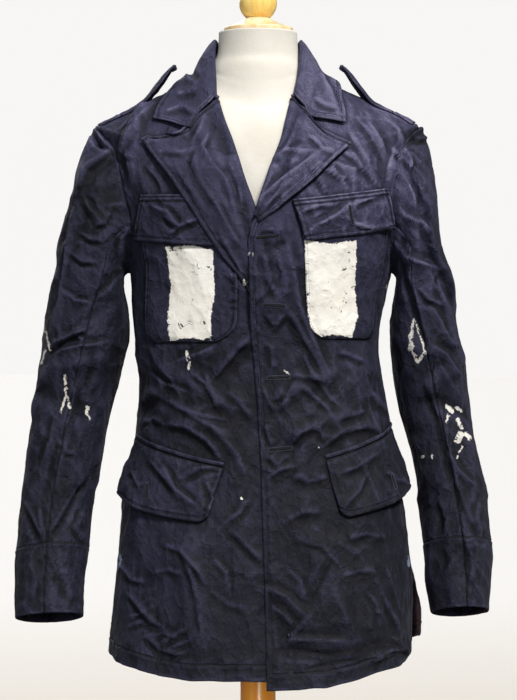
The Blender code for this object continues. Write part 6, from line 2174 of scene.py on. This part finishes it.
def buttonholes(thread_material, slit_material):
    """Worked buttonholes: a ring of radial stitches round a slit, drawn as a near-black strand of
    painted shade.
    """
    ring, slits = Threads(), Threads()
    for hole in BUTTONHOLES:
        (a, up_a), (b, up_b) = slit_point(*hole, 0), slit_point(*hole, 1)
        length = float(np.linalg.norm(b - a))
        along = unit(b - a)
        side = unit(np.cross(unit(up_a + up_b), along))
        count = max(int(length / HOLE_PITCH), 6)
        for k in range(count + 1):
            middle, up = slit_point(*hole, k / count)
            for sign in (-1, 1):
                ring.add(middle + side * sign * HOLE_SIDE + up * HOLE_LIFT,
                         side + along * 0.12 * sign, up, HOLE_STITCH)
        for end, direction, up in ((a, -along, up_a), (b, along, up_b)):
            for turn in np.radians(np.linspace(-70, 70, 6)):
                way = direction * math.cos(turn) + side * math.sin(turn)
                ring.add(end + way * HOLE_SIDE + up * HOLE_LIFT, way, up, HOLE_STITCH)
        for k in range(SLIT_PIECES):
            middle, up = slit_point(*hole, (k + 0.5) / SLIT_PIECES)
            slits.add(middle + up * SLIT_LIFT, along, up, length / SLIT_PIECES * 1.5)
    ring.piece("buttonhole_stitches", HOLE_RADIUS, thread_material)
    slits.piece("buttonhole_slits", SLIT_RADIUS, slit_material)


def floor():
    """A pale floor that grows paler with distance, so that it meets the background softly."""
    mesh = bpy.data.meshes.new("floor")
    near_y, far_y, half, z = -6, 60, 40, -0.0005
    mesh.from_pydata([(-half, near_y, z), (half, near_y, z), (half, far_y, z), (-half, far_y, z)],
                     [], [(0, 1, 2, 3)])
    obj = bpy.data.objects.new("floor", mesh)
    scene.collection.objects.link(obj)
    shader = Shader("floor")
    place = shader.node("ShaderNodeSeparateXYZ")
    shader.put(place.inputs[0], shader.here())
    far = shader.ramp(place.outputs["Y"], 0.3, 3.5)
    seen_floor = shader.mix(far, srgb(199, 193, 185), srgb(214, 213, 212))
    # The room is larger than this floor, so less of its light comes back than a wide floor sends.
    direct = shader.node("ShaderNodeLightPath").outputs["Is Camera Ray"]
    colour = shader.mix(direct, (0.16, 0.16, 0.155), seen_floor)
    obj.data.materials.append(shader.finish(colour, 0.8, None, Specular_IOR_Level=0.2))


def light(name, kind, power, place, target, colour=(1.0, 1.0, 1.0), **settings):
    """A light at a place that shines towards a target."""
    lamp = bpy.data.lights.new(name, kind)
    lamp.energy = power
    lamp.color = colour
    for key, value in settings.items():
        setattr(lamp, key, value)
    obj = bpy.data.objects.new(name, lamp)
    scene.collection.objects.link(obj)
    obj.location = place
    obj.rotation_euler = (obj.location - Vector(target)).to_track_quat("Z", "Y").to_euler()


def studio():
    """Pale light from all round, and a paler background as the camera sees it."""
    world = bpy.data.worlds.new("studio")
    scene.world = world
    world.use_nodes = True
    sky = world.node_tree
    background = sky.nodes["Background"]
    background.inputs["Color"].default_value = (0.94, 0.94, 0.93, 1.0)
    background.inputs["Strength"].default_value = WORLD_STRENGTH
    seen_sky = sky.nodes.new("ShaderNodeBackground")
    seen_sky.inputs["Color"].default_value = (*srgb(247, 246, 244), 1.0)
    ray = sky.nodes.new("ShaderNodeLightPath")
    either = sky.nodes.new("ShaderNodeMixShader")
    sky.links.new(ray.outputs["Is Camera Ray"], either.inputs[0])
    sky.links.new(background.outputs[0], either.inputs[1])
    sky.links.new(seen_sky.outputs[0], either.inputs[2])
    sky.links.new(either.outputs[0], sky.nodes["World Output"].inputs["Surface"])
    scene.view_settings.view_transform = "Standard"


# Suns stand for large lit panels: direction from the object, spread in degrees, power, colour.
WARM, COOL, NEUTRAL = (1.0, 0.985, 0.96), (0.96, 0.98, 1.0), (1.0, 1.0, 1.0)
SUNS = (
    ("top", (0.50, -0.15, 0.85), 20.0, 1.3, WARM),
    ("key", (0.27, -0.68, 0.66), 12.0, 3.7, WARM),
    ("fill", (-0.60, -0.90, 0.35), 50.0, 0.50, COOL),
    ("behind", (-0.35, 0.85, 0.42), 40.0, 0.9, NEUTRAL),
)
SUN_DISTANCE = 3.0
LOW_POWER = 20.0
WORLD_STRENGTH = 0.13


navy = twill("navy_twill")
navy_painted = twill("navy_twill_painted", painted=True)
cream = jersey("cream_jersey")
pale_wood = wood("pale_wood", srgb(250, 234, 196), srgb(226, 192, 136), 0.34)
ball_wood = wood("ball_wood", srgb(255, 226, 136), srgb(246, 194, 96), 0.30)
orange_wood = wood("orange_wood", srgb(255, 186, 62), srgb(244, 152, 34), 0.32)

# A piece that lies on another comes first, because painted shadow is put beside its outline on what
# lies beneath.
SIDES = (("left", True), ("right", False))
collar("collar_cloth", navy)
for word, is_left in SIDES:
    lapel(f"lapel_{word}_cloth", is_left, navy)
    strap(f"shoulder_strap_{word}_cloth", is_left, navy)
for word, is_left in SIDES:
    chest_flap(f"chest_flap_{word}_cloth", CHEST_FLAP_LEFT if is_left else CHEST_FLAP_RIGHT,
               is_left, navy)
for word, is_left in SIDES:
    pocket(f"chest_pocket_{word}_cloth", CHEST_POCKET_LEFT if is_left else CHEST_POCKET_RIGHT,
           is_left, navy_painted)
for kind, make in (("hip_welt", hip_welt), ("hip_flap", hip_flap)):
    for word, is_left in SIDES:
        make(f"{kind}_{word}_cloth", HIP_FLAP_LEFT if is_left else HIP_FLAP_RIGHT, is_left, navy)
front("front_right_cloth", False, navy)
front("front_left_cloth", True, navy)
back("back_cloth", navy)
for word, is_left in SIDES:
    sleeve(f"top_sleeve_{word}_cloth", is_left, True, navy)
    sleeve(f"under_sleeve_{word}_cloth", is_left, False, navy)
stitches(thread("navy_thread", NAVY_THREAD))
# The slits' material is painted shade.
buttonholes(thread("buttonhole_thread", BUTTONHOLE_THREAD),
            Shader("buttonhole_slit_shade").finish(SLIT_SHADE, 0.95))

torso(cream)
turned("form_cap_wood", CAP_PROFILE, pale_wood, "form_cap", "pale_wood")
turned("form_finial_wood", ball_profile(), ball_wood, "form_finial", "pale_wood", radius=0.0004)
turned("stand_pole_wood", POLE_PROFILE, orange_wood, "stand_pole", "orange_wood")
turned("stand_base_wood", BASE_PROFILE, orange_wood, "stand_base", "orange_wood", radius=0.003)

floor()
for name, direction, spread, power, colour in SUNS:
    place = [SUN_DISTANCE * part for part in direction]
    light(name, "SUN", power, place, (0, 0, 0), colour, angle=math.radians(spread))
light("low", "SPOT", LOW_POWER, (0.15, -1.2, 0.03), (0.0, 0.0, 0.135), spot_size=math.radians(9),
      spot_blend=0.4, shadow_soft_size=0.05)
studio()
